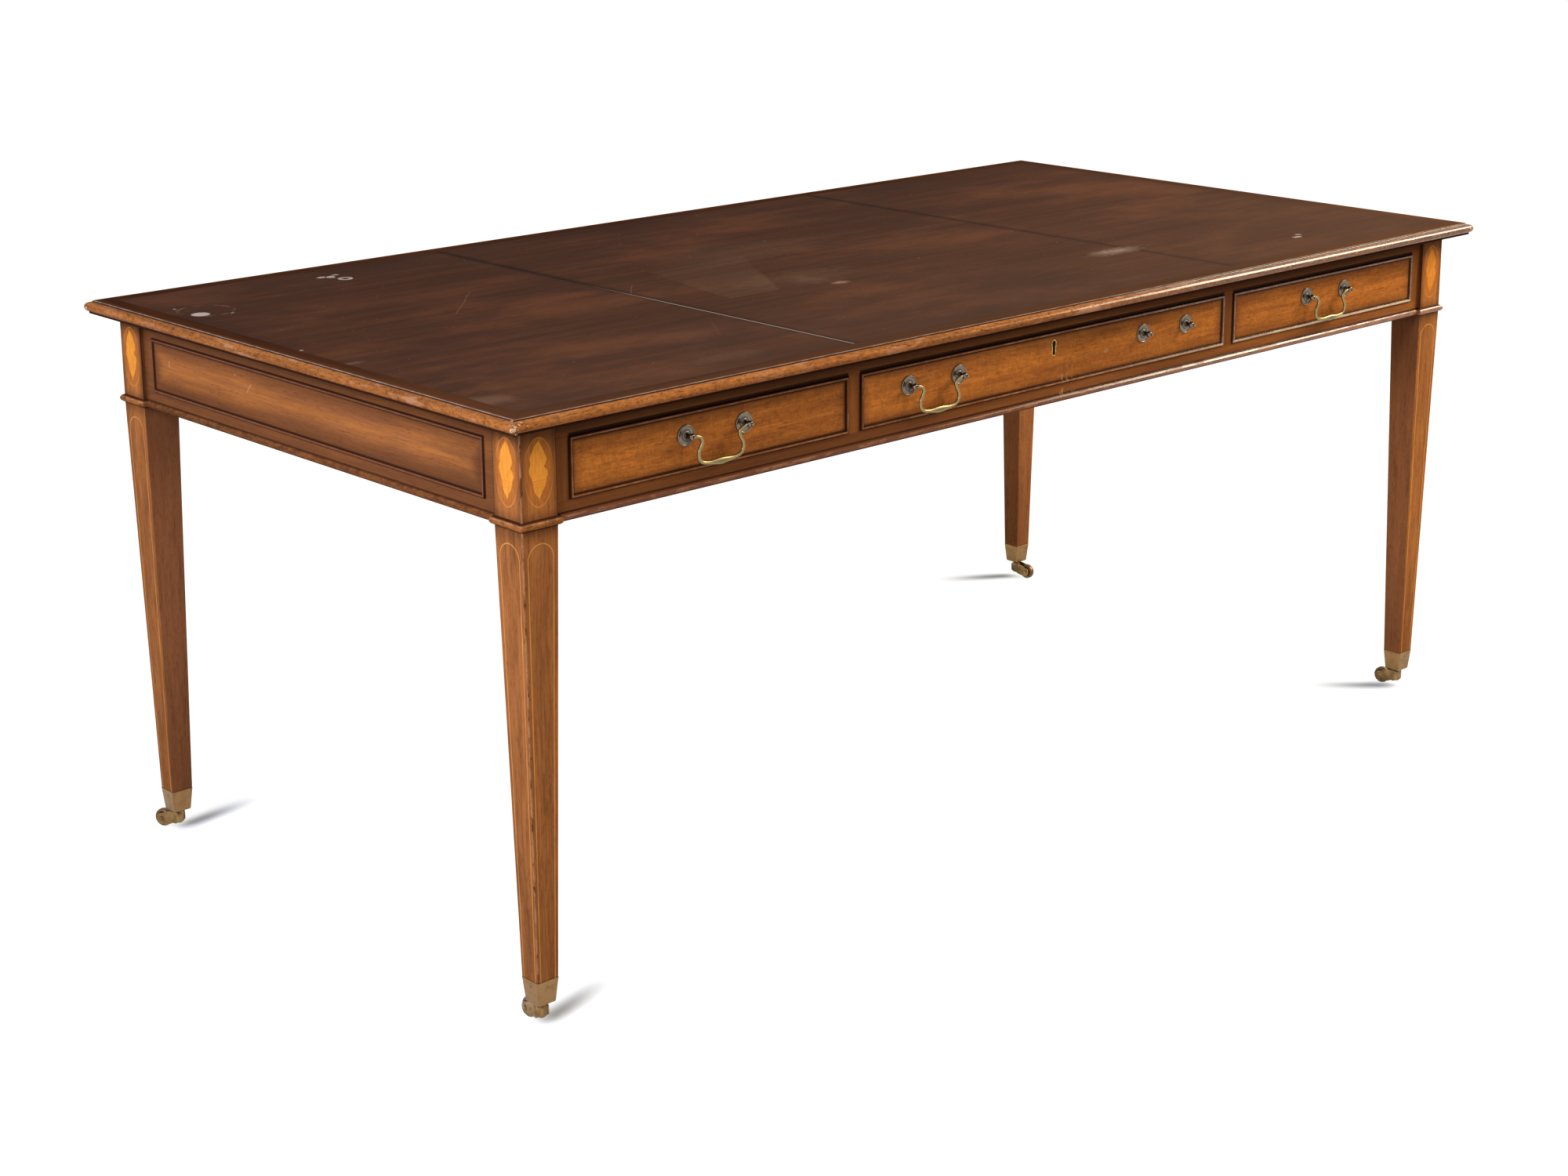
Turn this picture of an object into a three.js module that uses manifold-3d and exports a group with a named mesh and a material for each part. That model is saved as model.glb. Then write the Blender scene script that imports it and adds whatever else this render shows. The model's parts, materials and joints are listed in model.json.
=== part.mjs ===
import * as THREE from 'three';
import { mergeVertices } from 'three/addons/utils/BufferGeometryUtils.js';
import Module from 'manifold-3d';

const wasm = await Module();
wasm.setup();

// All lengths are in millimetres. +X runs along the desk, the drawers face -Y, +Z is up,
// and the origin is on the floor under the middle of the top.

// Overall size
const DESK_HEIGHT = 762;
const TOP_LENGTH = 1870;
const TOP_DEPTH = 960;
const TOP_THICK = 18;
const TOP_OVERHANG = 35;

// Clearances: glued joints, running fits, the reveal round a drawer, and the run of a cut past a face
const GLUE_LINE = 0.1;
const RUNNING_GAP = 0.3;
const DRAWER_GAP = 0.8;
const CUT_OVERRUN = 5;

// Mitred edge band of the top: a fillet, a round nose and a lip that is set back under it
const BAND_WIDTH = 35;
const FILLET_INSET = 10;
const FILLET_DROP = 2;
const NOSE_DROP = 8.5;
const NOSE_FOOT_DROP = 14.4;
const NOSE_FOOT_INSET = 5;
const LIP_INSET = 6;

// Square posts that taper into the legs below a half-round bead
const POST_WIDTH = 52;
const BEAD_HEIGHT = 10;
const POST_BEAD_PROUD = 5;
const ANKLE_WIDTH = 31;

// Aprons and rails between the posts, in a case that hangs below the top
const CASE_DEPTH = 122;
const APRON_SETBACK = 5;
const APRON_THICK = 22;
const RAIL_BEAD_PROUD = 4.5;
const BOTTOM_RAIL_HEIGHT = 24;
const OPENING_HEIGHT = 75;
const SIDE_OPENING_WIDTH = 443;
const STILE_WIDTH = 21;
const DIVIDER_WIDTH = 20;
const PANEL_MARGIN = 22;

// Bead strips round the drawer fronts and the blind panels
const COCK_BEAD_WIDTH = 4;
const COCK_BEAD_PROUD = 2.5;
const COCK_BEAD_ROUND = 1.2;
const COCK_BEAD_SEAT = 3;

// Guides that carry the drawers: ledge below, kicker above, web between
const RUNNER_LEDGE = 16;
const RUNNER_THICK = 13;

// Drawers
const DRAWER_DEPTH = 560;
const FRONT_THICK = 20;
const SIDE_THICK = 10;
const BACK_THICK = 10;
const SIDE_TOP_DROP = 4;
const BOTTOM_THICK = 6;
const BOTTOM_RAISE = 8;
const GROOVE_DEPTH = 5;

// Dovetails that join the sides to the front and the back
const FRONT_LAP = 6;
const FRONT_TAILS = 3;
const BACK_TAILS = 2;
const HALF_PIN = 5;
const PIN_NECK = 7;
const TAIL_SLOPE_SHARE = 0.15;

// Pulls: a round rosette with a ball post, and a swan-neck bail between two posts
const PULL_DROP = 29;
const PULL_SPACING = 92;
const CENTRE_PULL_INSET = 133;
const ROSETTE_RADIUS = 13.25;
const ROSETTE_RIM = 1.8;
const ROSETTE_RIM_WIDTH = 2.4;
const ROSETTE_DISH = 1.2;
const ROSETTE_BOSS_RADIUS = 6;
const ROSETTE_BOSS = 3.6;
const STEM_RADIUS = 2.6;
const PIVOT_REACH = 11;
const BALL_RADIUS = 4.4;
const FINIAL_RADIUS = 2;
const FINIAL_LENGTH = 2.6;
const PIVOT_BORE_RADIUS = 1.9;
const PIVOT_BORE_DEPTH = 3.2;
const ROSETTE_SEGMENTS = 16;

const BAIL_PIN_RADIUS = 1.5;
const BAIL_ARM_RADIUS = 2.3;
const BAIL_GRIP_RADIUS = 4.4;
const BAIL_GRIP_DEPTH_RADIUS = 2.9;
const BAIL_GRIP_LENGTH = 44;
const BAIL_DROP = 36;
const BAIL_NECK_IN = 16.5;
const BAIL_SIDES = 8;
const BAIL_STEPS = 44;
const BAIL_ARM_IN_SHARES = [0.3, 0.55, 0.86, 1.0, 0.86, 0.66, 0.66, 0.95, 1.6];
const BAIL_ARM_DROP_SHARES = [0.0, 0.03, 0.1, 0.24, 0.4, 0.56, 0.78, 0.93, 1.0];

// Lock of the middle drawer, its bolt and the brass liner of the keyhole
const KEYHOLE_DROP = 22;
const KEYHOLE_HEIGHT = 22;
const KEYHOLE_HEAD_RADIUS = 4.7;
const KEYHOLE_WAIST = 7.2;
const KEYHOLE_FOOT_RADIUS = 4;
const LINER_WALL = 0.9;
const LINER_DEPTH = 8;
const LINER_PROUD = 0.2;
const LOCK_WIDTH = 58;
const LOCK_HEIGHT = 40;
const LOCK_THICK = 9;
const LOCK_WALL = 1.5;
const BOLT_WIDTH = 22;
const BOLT_HEIGHT = 26;
const BOLT_THROW = 7;
const BOLT_MORTISE_PLAY = 1;

// Brass casters: a square cup, a swivelling horn with its axle, and a wheel that trails behind
const CUP_BASE = 29;
const CUP_HEIGHT = 32;
const CUP_TOP_WIDTH = 32;
const CUP_BASE_WIDTH = 26;
const CUP_WALL = 1.5;
const CUP_FLOOR = 3;
const CUP_CHAMFER = 1.5;
const SWIVEL_PIN_RADIUS = 3;
const BOSS_RADIUS = 7.5;
const BOSS_NECK_RADIUS = 5.5;
const BOSS_BASE = 9;
const BOSS_ROUND = 3;
const CHEEK_TOP = 26;
const CHEEK_SHOULDER = 23;
const CHEEK_EYE_RADIUS = 8;
const CHEEK_THICK = 2.2;
const TRAIL = 25;
const WHEEL_RADIUS = 13;
const WHEEL_WIDTH = 10;
const WHEEL_TREAD_WIDTH = 4;
const WHEEL_SHOULDER = 1.6;
const WHEEL_DISH_RADIUS = 8.5;
const WHEEL_DISH_DEPTH = 1.5;
const AXLE_RADIUS = 2.2;
const AXLE_HEAD_RADIUS = 3.4;
const AXLE_HEAD = 1;
const CHEEK_GAP = 0.5;
const WHEEL_SEGMENTS = 24;
const BOSS_SEGMENTS = 16;
const AXLE_SEGMENTS = 12;
const ARC_STEPS = 5;

// Way that each caster's wheel trails at rest, in degrees from +X towards +Y
const FRONT_LEFT_TRAIL_DEGREES = 84;
const FRONT_RIGHT_TRAIL_DEGREES = 96;
const BACK_LEFT_TRAIL_DEGREES = 114;
const BACK_RIGHT_TRAIL_DEGREES = -84;

// Places worked out from the sizes above
const BODY_LENGTH = TOP_LENGTH - 2 * TOP_OVERHANG;
const BODY_DEPTH = TOP_DEPTH - 2 * TOP_OVERHANG;
const TOP_UNDERSIDE = DESK_HEIGHT - TOP_THICK;
const FRAME_TOP = TOP_UNDERSIDE - GLUE_LINE;
const BEAD_BASE = TOP_UNDERSIDE - CASE_DEPTH;
const BEAD_TOP = BEAD_BASE + BEAD_HEIGHT;
const OPENING_BASE = BEAD_BASE + BOTTOM_RAIL_HEIGHT;
const OPENING_TOP = OPENING_BASE + OPENING_HEIGHT;
const LONG_SPAN = BODY_LENGTH - 2 * POST_WIDTH - 2 * GLUE_LINE;
const SHORT_SPAN = BODY_DEPTH - 2 * POST_WIDTH - 2 * GLUE_LINE;
const RAIL_FACE = -BODY_DEPTH / 2 + APRON_SETBACK;
const RAIL_DEPTH = POST_WIDTH - APRON_SETBACK;
const RAIL_BACK = RAIL_FACE + RAIL_DEPTH;
const BACK_APRON_INSIDE = BODY_DEPTH / 2 - APRON_SETBACK - APRON_THICK;
const STILE_OUTSIDE = BODY_LENGTH / 2 - POST_WIDTH;
const STILE_INSIDE = STILE_OUTSIDE - STILE_WIDTH;
const DIVIDER_OUTSIDE = STILE_INSIDE - SIDE_OPENING_WIDTH;
const DIVIDER_INSIDE = DIVIDER_OUTSIDE - DIVIDER_WIDTH;
const CENTRE_OPENING_WIDTH = 2 * DIVIDER_INSIDE;
const LEG_CENTRE_X = BODY_LENGTH / 2 - POST_WIDTH / 2;
const LEG_CENTRE_Y = BODY_DEPTH / 2 - POST_WIDTH / 2;
const AXLE_HEIGHT = WHEEL_RADIUS * Math.cos(Math.PI / WHEEL_SEGMENTS);

// Finishes
const paint = (color, roughness, metalness) => new THREE.MeshStandardMaterial({ color, roughness, metalness });
const darkMahogany = () => paint(0x50352a, 0.35, 0);
const wornMahogany = () => paint(0x9c6238, 0.45, 0);
const honeyMahogany = () => paint(0x8a5530, 0.4, 0);
const legMahogany = () => paint(0x784b2d, 0.45, 0);
const drawerOak = () => paint(0x9a7850, 0.7, 0);
const agedBrass = () => paint(0x9a8350, 0.4, 1);
const darkBrass = () => paint(0x5f5648, 0.45, 1);
const lockSteel = () => paint(0x6d6860, 0.5, 1);

const desk = new THREE.Group();

// Merges shared vertices, drops triangles without area and turns the faces outwards
function closed(geometry) {
  geometry.deleteAttribute('normal');
  geometry.deleteAttribute('uv');
  const merged = mergeVertices(geometry);
  const place = merged.attributes.position;
  const corner = [new THREE.Vector3(), new THREE.Vector3(), new THREE.Vector3()];
  const kept = [];
  let volume = 0;
  for (let i = 0; i < merged.index.count; i += 3) {
    const [a, b, c] = [0, 1, 2].map((k) => merged.index.getX(i + k));
    if (a === b || b === c || c === a) continue;
    [a, b, c].forEach((n, k) => corner[k].fromBufferAttribute(place, n));
    volume += corner[0].dot(corner[1].clone().cross(corner[2]));
    kept.push([a, b, c]);
  }
  const turned = volume < 0 ? kept.map(([a, b, c]) => [a, c, b]) : kept;
  merged.setIndex(turned.flat());
  return merged;
}

function solidOf(geometry) {
  const body = closed(geometry);
  return new wasm.Manifold(new wasm.Mesh({
    numProp: 3,
    vertProperties: new Float32Array(body.attributes.position.array),
    triVerts: new Uint32Array(body.index.array),
  }));
}

function geometryOf(solid) {
  const mesh = solid.getMesh();
  const geometry = new THREE.BufferGeometry();
  geometry.setAttribute('position', new THREE.BufferAttribute(mesh.vertProperties, mesh.numProp));
  geometry.setIndex(new THREE.BufferAttribute(mesh.triVerts, 1));
  return geometry;
}

function joined(first, ...others) {
  return geometryOf(others.reduce((sum, other) => sum.add(solidOf(other)), solidOf(first)));
}

function cut(from, ...tools) {
  return geometryOf(tools.reduce((rest, tool) => rest.subtract(solidOf(tool)), solidOf(from)));
}

// Box between two opposite corners
function block(low, high) {
  const geometry = new THREE.BoxGeometry(high[0] - low[0], high[1] - low[1], high[2] - low[2]);
  return geometry.translate((low[0] + high[0]) / 2, (low[1] + high[1]) / 2, (low[2] + high[2]) / 2);
}

// Outline in x and z, as the front shows it, from y at its back to y at its front
function frontPrism(outline, back, front) {
  const geometry = new THREE.ExtrudeGeometry(outline, { depth: back - front, bevelEnabled: false, curveSegments: ARC_STEPS });
  return geometry.rotateX(Math.PI / 2).translate(0, back, 0);
}

// Outline in y and z, carried along x
function longPrism(outline, start, end) {
  const geometry = new THREE.ExtrudeGeometry(outline, { depth: end - start, bevelEnabled: false, curveSegments: ARC_STEPS });
  const turn = new THREE.Matrix4().makeBasis(
    new THREE.Vector3(0, 1, 0),
    new THREE.Vector3(0, 0, 1),
    new THREE.Vector3(1, 0, 0),
  );
  return geometry.applyMatrix4(turn).translate(start, 0, 0);
}

function polygon(points) {
  return new THREE.Shape(points.map(([u, v]) => new THREE.Vector2(u, v)));
}

function rectangle(left, low, right, high) {
  return polygon([[left, low], [right, low], [right, high], [left, high]]);
}

// Profile of radius and height turned round the z axis
function turned(profile, segments) {
  const points = profile.map(([radius, height]) => new THREE.Vector2(radius, height));
  return new THREE.LatheGeometry(points, segments).rotateX(Math.PI / 2);
}

// Profile of half width and height carried round four sides, with mitred corners
function squareTurned(profile) {
  const corners = profile.map(([half, height]) => [half * Math.SQRT2, height]);
  return turned(corners, 4).rotateZ(Math.PI / 4);
}

// Rod along y, centred on a point in x and z
function crossRod(radius, from, to, x, z, segments) {
  const rod = new THREE.CylinderGeometry(radius, radius, to - from, segments);
  return rod.translate(x, (from + to) / 2, z);
}

// Points of an elliptic arc between two angles
function arc(centreU, centreV, radiusU, radiusV, startAngle, endAngle) {
  const points = [];
  for (let i = 0; i <= ARC_STEPS; i += 1) {
    const angle = startAngle + ((endAngle - startAngle) * i) / ARC_STEPS;
    points.push([centreU + radiusU * Math.cos(angle), centreV + radiusV * Math.sin(angle)]);
  }
  return points;
}

function piece(name, geometry, material, parent = desk) {
  const mesh = new THREE.Mesh(closed(geometry), material);
  mesh.name = name;
  parent.add(mesh);
  return mesh;
}

// Top board inside its four bands
function addTopBoard() {
  const inset = BAND_WIDTH + GLUE_LINE;
  const halfLength = TOP_LENGTH / 2 - inset;
  const halfDepth = TOP_DEPTH / 2 - inset;
  piece('top_board', block([-halfLength, -halfDepth, TOP_UNDERSIDE], [halfLength, halfDepth, DESK_HEIGHT]), darkMahogany());
}

// Moulded section of a band: inward distance from the edge, and height above the floor
function bandSection() {
  const level = (drop) => DESK_HEIGHT - drop;
  const noseTop = arc(FILLET_INSET, level(NOSE_DROP), FILLET_INSET, NOSE_DROP - FILLET_DROP, Math.PI / 2, Math.PI);
  const noseFoot = arc(NOSE_FOOT_INSET, level(NOSE_DROP), NOSE_FOOT_INSET, NOSE_FOOT_DROP - NOSE_DROP, Math.PI, 1.5 * Math.PI);
  return polygon([
    [BAND_WIDTH, level(0)],
    [FILLET_INSET, level(0)],
    ...noseTop,
    ...noseFoot.slice(1),
    [LIP_INSET, level(NOSE_FOOT_DROP)],
    [LIP_INSET, TOP_UNDERSIDE],
    [BAND_WIDTH, TOP_UNDERSIDE],
  ]);
}

// Each end of a band is cut back by as much as a point lies in from the edge, which makes the mitre
function mitredBand(length) {
  const geometry = longPrism(bandSection(), -length / 2, length / 2);
  const place = geometry.attributes.position;
  for (let i = 0; i < place.count; i += 1) {
    const reach = length / 2 - place.getY(i) - GLUE_LINE;
    place.setX(i, Math.sign(place.getX(i)) * reach);
  }
  return geometry;
}

function addBand(name, length, distance, quarterTurns) {
  const band = piece(name, mitredBand(length), wornMahogany());
  band.rotation.z = (quarterTurns * Math.PI) / 2;
  band.position.set(0, -distance, 0).applyAxisAngle(new THREE.Vector3(0, 0, 1), band.rotation.z);
}

function addTop() {
  addTopBoard();
  addBand('top_band_front', TOP_LENGTH, TOP_DEPTH / 2, 0);
  addBand('top_band_right', TOP_DEPTH, TOP_LENGTH / 2, 1);
  addBand('top_band_back', TOP_LENGTH, TOP_DEPTH / 2, 2);
  addBand('top_band_left', TOP_DEPTH, TOP_LENGTH / 2, 3);
}

// Half width inside the cup's tapering wall, at a height above the floor
function cupInside(height) {
  const rise = (height - CUP_BASE) / CUP_HEIGHT;
  return (CUP_BASE_WIDTH + (CUP_TOP_WIDTH - CUP_BASE_WIDTH) * rise) / 2 - CUP_WALL;
}

// Leg with its post, bead, taper and the peg that stands in the cup
function legGeometry() {
  const cupTop = CUP_BASE + CUP_HEIGHT;
  const pegBase = CUP_BASE + CUP_FLOOR + GLUE_LINE;
  const postHalf = POST_WIDTH / 2;
  const beadMiddle = BEAD_BASE + BEAD_HEIGHT / 2;
  return squareTurned([
    [0, pegBase],
    [cupInside(pegBase) - RUNNING_GAP, pegBase],
    [cupInside(cupTop) - RUNNING_GAP, cupTop + GLUE_LINE],
    [ANKLE_WIDTH / 2, cupTop + GLUE_LINE],
    ...arc(postHalf, beadMiddle, POST_BEAD_PROUD, BEAD_HEIGHT / 2, -Math.PI / 2, Math.PI / 2),
    [postHalf, FRAME_TOP],
    [0, FRAME_TOP],
  ]);
}

// Brass cup with a chamfered foot and a hole for the swivel pin
function cupGeometry() {
  const top = CUP_BASE + CUP_HEIGHT;
  const floor = CUP_BASE + CUP_FLOOR;
  const shell = squareTurned([
    [0, CUP_BASE],
    [CUP_BASE_WIDTH / 2 - CUP_CHAMFER, CUP_BASE],
    [CUP_BASE_WIDTH / 2, CUP_BASE + CUP_CHAMFER],
    [CUP_TOP_WIDTH / 2, top],
    [cupInside(top), top],
    [cupInside(floor), floor],
    [0, floor],
  ]);
  const holeRadius = SWIVEL_PIN_RADIUS + RUNNING_GAP;
  const hole = turned([
    [0, CUP_BASE - CUT_OVERRUN],
    [holeRadius, CUP_BASE - CUT_OVERRUN],
    [holeRadius, floor + CUT_OVERRUN],
    [0, floor + CUT_OVERRUN],
  ], BOSS_SEGMENTS);
  return cut(shell, hole);
}

// One cheek of the horn, from the boss to the eye round the axle
function cheekOutline() {
  const shape = new THREE.Shape();
  shape.moveTo(-BOSS_NECK_RADIUS, BOSS_BASE + BOSS_ROUND);
  shape.lineTo(-BOSS_NECK_RADIUS, CHEEK_SHOULDER);
  shape.quadraticCurveTo(-BOSS_NECK_RADIUS, CHEEK_TOP, 0, CHEEK_TOP);
  shape.quadraticCurveTo(TRAIL / 2, CHEEK_TOP, TRAIL, AXLE_HEIGHT + CHEEK_EYE_RADIUS);
  shape.absarc(TRAIL, AXLE_HEIGHT, CHEEK_EYE_RADIUS, Math.PI / 2, -Math.PI / 2, true);
  shape.quadraticCurveTo(TRAIL / 2, AXLE_HEIGHT - CHEEK_EYE_RADIUS, BOSS_NECK_RADIUS, BOSS_BASE);
  shape.lineTo(0, BOSS_BASE);
  return shape;
}

// Horn: swivel pin, boss, two cheeks and the riveted axle, with the trail along +X
function hornGeometry() {
  const crown = CUP_BASE - RUNNING_GAP;
  const pinTop = CUP_BASE + CUP_FLOOR - RUNNING_GAP;
  const boss = turned([
    [0, BOSS_BASE],
    [BOSS_RADIUS - BOSS_ROUND, BOSS_BASE],
    [BOSS_RADIUS, BOSS_BASE + BOSS_ROUND],
    [BOSS_RADIUS, CHEEK_SHOULDER],
    [BOSS_NECK_RADIUS, CHEEK_TOP],
    [BOSS_RADIUS, crown],
    [SWIVEL_PIN_RADIUS, crown],
    [SWIVEL_PIN_RADIUS, pinTop],
    [0, pinTop],
  ], BOSS_SEGMENTS);
  const inside = WHEEL_WIDTH / 2 + CHEEK_GAP;
  const outside = inside + CHEEK_THICK;
  const headEnd = outside + AXLE_HEAD;
  return joined(
    boss,
    frontPrism(cheekOutline(), outside, inside),
    frontPrism(cheekOutline(), -inside, -outside),
    crossRod(AXLE_RADIUS, -outside, outside, TRAIL, AXLE_HEIGHT, AXLE_SEGMENTS),
    crossRod(AXLE_HEAD_RADIUS, inside + CHEEK_THICK / 2, headEnd, TRAIL, AXLE_HEIGHT, AXLE_SEGMENTS),
    crossRod(AXLE_HEAD_RADIUS, -headEnd, -inside - CHEEK_THICK / 2, TRAIL, AXLE_HEIGHT, AXLE_SEGMENTS),
  );
}

// Wheel with a crowned tread, dished sides and a bore, standing on one flat of its tread
function wheelGeometry() {
  const bore = AXLE_RADIUS + RUNNING_GAP;
  const half = WHEEL_WIDTH / 2;
  const side = [
    [bore, half],
    [WHEEL_DISH_RADIUS - WHEEL_DISH_DEPTH, half - WHEEL_DISH_DEPTH],
    [WHEEL_DISH_RADIUS, half],
    [WHEEL_RADIUS - WHEEL_SHOULDER, half],
    [WHEEL_RADIUS, WHEEL_TREAD_WIDTH / 2],
  ];
  const otherSide = side.map(([radius, across]) => [radius, -across]).reverse();
  const ring = turned([...side, ...otherSide, side[0]], WHEEL_SEGMENTS);
  return ring.rotateZ(Math.PI / WHEEL_SEGMENTS).rotateX(Math.PI / 2).translate(TRAIL, 0, AXLE_HEIGHT);
}

function addLegWithCaster(corner, signX, signY, trailDegrees) {
  const place = new THREE.Group();
  place.position.set(signX * LEG_CENTRE_X, signY * LEG_CENTRE_Y, 0);
  desk.add(place);
  piece(`leg_${corner}`, legGeometry(), legMahogany(), place);
  piece(`caster_cup_${corner}`, cupGeometry(), agedBrass(), place);
  const swivel = new THREE.Group();
  swivel.rotation.z = THREE.MathUtils.degToRad(trailDegrees);
  place.add(swivel);
  piece(`caster_horn_${corner}`, hornGeometry(), agedBrass(), swivel);
  piece(`caster_wheel_${corner}`, wheelGeometry(), darkBrass(), swivel);
}

// Board with a half-round bead along its lower front edge; the bead stops short of the posts' beads
function beadedBoard(length, thickness, top) {
  const boardBase = BEAD_TOP + GLUE_LINE;
  const beadHalf = length / 2 - POST_BEAD_PROUD;
  const beadMiddle = BEAD_BASE + BEAD_HEIGHT / 2;
  const section = polygon([
    [thickness, BEAD_BASE],
    [thickness, boardBase + APRON_SETBACK],
    [0, boardBase + APRON_SETBACK],
    ...arc(0, beadMiddle, RAIL_BEAD_PROUD, BEAD_HEIGHT / 2, Math.PI / 2, 1.5 * Math.PI),
  ]);
  return joined(
    block([-length / 2, 0, boardBase], [length / 2, thickness, top]),
    longPrism(section, -beadHalf, beadHalf),
  );
}

// Mitred strip round a rectangle, rounded in front, that stands proud of the face at y = 0
function beadFrame(left, low, right, high) {
  const outline = rectangle(left, low, right, high);
  const inner = COCK_BEAD_WIDTH;
  outline.holes.push(rectangle(left + inner, low + inner, right - inner, high - inner));
  const straight = COCK_BEAD_SEAT + COCK_BEAD_PROUD - COCK_BEAD_ROUND;
  const strip = new THREE.ExtrudeGeometry(outline, {
    depth: straight,
    bevelThickness: COCK_BEAD_ROUND,
    bevelSize: COCK_BEAD_ROUND,
    bevelOffset: -COCK_BEAD_ROUND,
    bevelSegments: 2,
  });
  return strip.rotateX(Math.PI / 2).translate(0, COCK_BEAD_SEAT, 0);
}

// Blind panel apron for the back and the ends
function apronGeometry(length) {
  const half = length / 2 - PANEL_MARGIN;
  return joined(
    beadedBoard(length, APRON_THICK, FRAME_TOP),
    beadFrame(-half, OPENING_BASE + DRAWER_GAP, half, OPENING_TOP - DRAWER_GAP),
  );
}

function addApron(name, length, distance, quarterTurns) {
  const apron = piece(name, apronGeometry(length), honeyMahogany());
  apron.rotation.z = (quarterTurns * Math.PI) / 2;
  apron.position.set(0, -distance, 0).applyAxisAngle(new THREE.Vector3(0, 0, 1), apron.rotation.z);
}

// Rails above and below the drawers; the upper one has the mortise that the lock's bolt enters
function addFrontRails() {
  const lower = piece('front_bottom_rail', beadedBoard(LONG_SPAN, RAIL_DEPTH, OPENING_BASE), honeyMahogany());
  lower.position.y = RAIL_FACE;
  const upper = block([-LONG_SPAN / 2, RAIL_FACE, OPENING_TOP], [LONG_SPAN / 2, RAIL_BACK, FRAME_TOP]);
  const boltMiddle = RAIL_FACE + FRONT_THICK - LOCK_THICK / 2;
  const halfWidth = BOLT_WIDTH / 2 + BOLT_MORTISE_PLAY;
  const halfThick = LOCK_THICK / 2 - LOCK_WALL + BOLT_MORTISE_PLAY;
  const mortise = block(
    [-halfWidth, boltMiddle - halfThick, OPENING_TOP - CUT_OVERRUN],
    [halfWidth, boltMiddle + halfThick, OPENING_TOP + BOLT_THROW + BOLT_MORTISE_PLAY],
  );
  piece('front_top_rail', cut(upper, mortise), honeyMahogany());
}

// Guide between drawers: its front end shows as a stile or divider between the rails, and behind
// them it widens into a ledge that carries the drawer and a kicker that stops it tipping
function guideGeometry(left, right, ledgeLeft, ledgeRight) {
  const back = BACK_APRON_INSIDE - GLUE_LINE;
  const low = OPENING_BASE + GLUE_LINE;
  const high = OPENING_TOP - GLUE_LINE;
  const face = rectangle(left, low, right, high);
  const section = polygon([
    [left - ledgeLeft, OPENING_BASE - RUNNER_THICK],
    [right + ledgeRight, OPENING_BASE - RUNNER_THICK],
    [right + ledgeRight, OPENING_BASE],
    [right, OPENING_BASE],
    [right, OPENING_TOP],
    [right + ledgeRight, OPENING_TOP],
    [right + ledgeRight, FRAME_TOP],
    [left - ledgeLeft, FRAME_TOP],
    [left - ledgeLeft, OPENING_TOP],
    [left, OPENING_TOP],
    [left, OPENING_BASE],
    [left - ledgeLeft, OPENING_BASE],
  ].filter(([u, v], i, all) => i === 0 || u !== all[i - 1][0] || v !== all[i - 1][1]));
  return joined(
    frontPrism(face, RAIL_BACK + CUT_OVERRUN, RAIL_FACE),
    frontPrism(section, back, RAIL_BACK + GLUE_LINE),
  );
}

function addGuides() {
  const outside = STILE_OUTSIDE - GLUE_LINE;
  const ledge = RUNNER_LEDGE;
  piece('drawer_guide_left', guideGeometry(-outside, -STILE_INSIDE, 0, ledge), drawerOak());
  piece('drawer_guide_mid_left', guideGeometry(-DIVIDER_OUTSIDE, -DIVIDER_INSIDE, ledge, ledge), drawerOak());
  piece('drawer_guide_mid_right', guideGeometry(DIVIDER_INSIDE, DIVIDER_OUTSIDE, ledge, ledge), drawerOak());
  piece('drawer_guide_right', guideGeometry(STILE_INSIDE, outside, ledge, 0), drawerOak());
}

// Tails along an edge, as points from the low end to the high end. Shoulders lie at the base and
// tips at the tip, both measured along y, and the pins between the tails get wider towards the base.
function tailEdge(low, high, count, base, tip, slack) {
  const slope = Math.abs(tip - base) * TAIL_SLOPE_SHARE;
  const pitch = (high - low - 2 * HALF_PIN + PIN_NECK) / count;
  const points = [];
  for (let i = 0; i < count; i += 1) {
    const neckLow = low + HALF_PIN + i * pitch - slack;
    const neckHigh = neckLow + pitch - PIN_NECK + 2 * slack;
    points.push([base, neckLow + slope], [tip, neckLow], [tip, neckHigh], [base, neckHigh - slope]);
  }
  return points;
}

// Prisms of the tails alone, through a side board, to cut their sockets
function tailCutters(low, high, count, base, tip, fromX, toX) {
  const edge = tailEdge(low, high, count, base, tip, GLUE_LINE);
  const cutters = [];
  for (let i = 0; i < count; i += 1) {
    const [a, b, c, d] = edge.slice(4 * i, 4 * i + 4);
    const outline = [a, b, c, d];
    cutters.push(longPrism(polygon(tip < base ? outline.reverse() : outline), fromX, toX));
  }
  return cutters;
}

// Heights of the drawer's pieces above the base of its opening
const SIDE_BASE = RUNNING_GAP;
const FRONT_BASE = DRAWER_GAP;
const FRONT_TOP = OPENING_HEIGHT - DRAWER_GAP;
const SIDE_TOP = FRONT_TOP - SIDE_TOP_DROP;
const GROOVE_BASE = SIDE_BASE + BOTTOM_RAISE;
const GROOVE_TOP = GROOVE_BASE + BOTTOM_THICK + 2 * GLUE_LINE;
const FRONT_TAIL_TIP = FRONT_LAP + GLUE_LINE;
const FRONT_TAIL_BASE = FRONT_THICK + GLUE_LINE;
const BACK_TAIL_BASE = DRAWER_DEPTH - BACK_THICK - GLUE_LINE;

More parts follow.
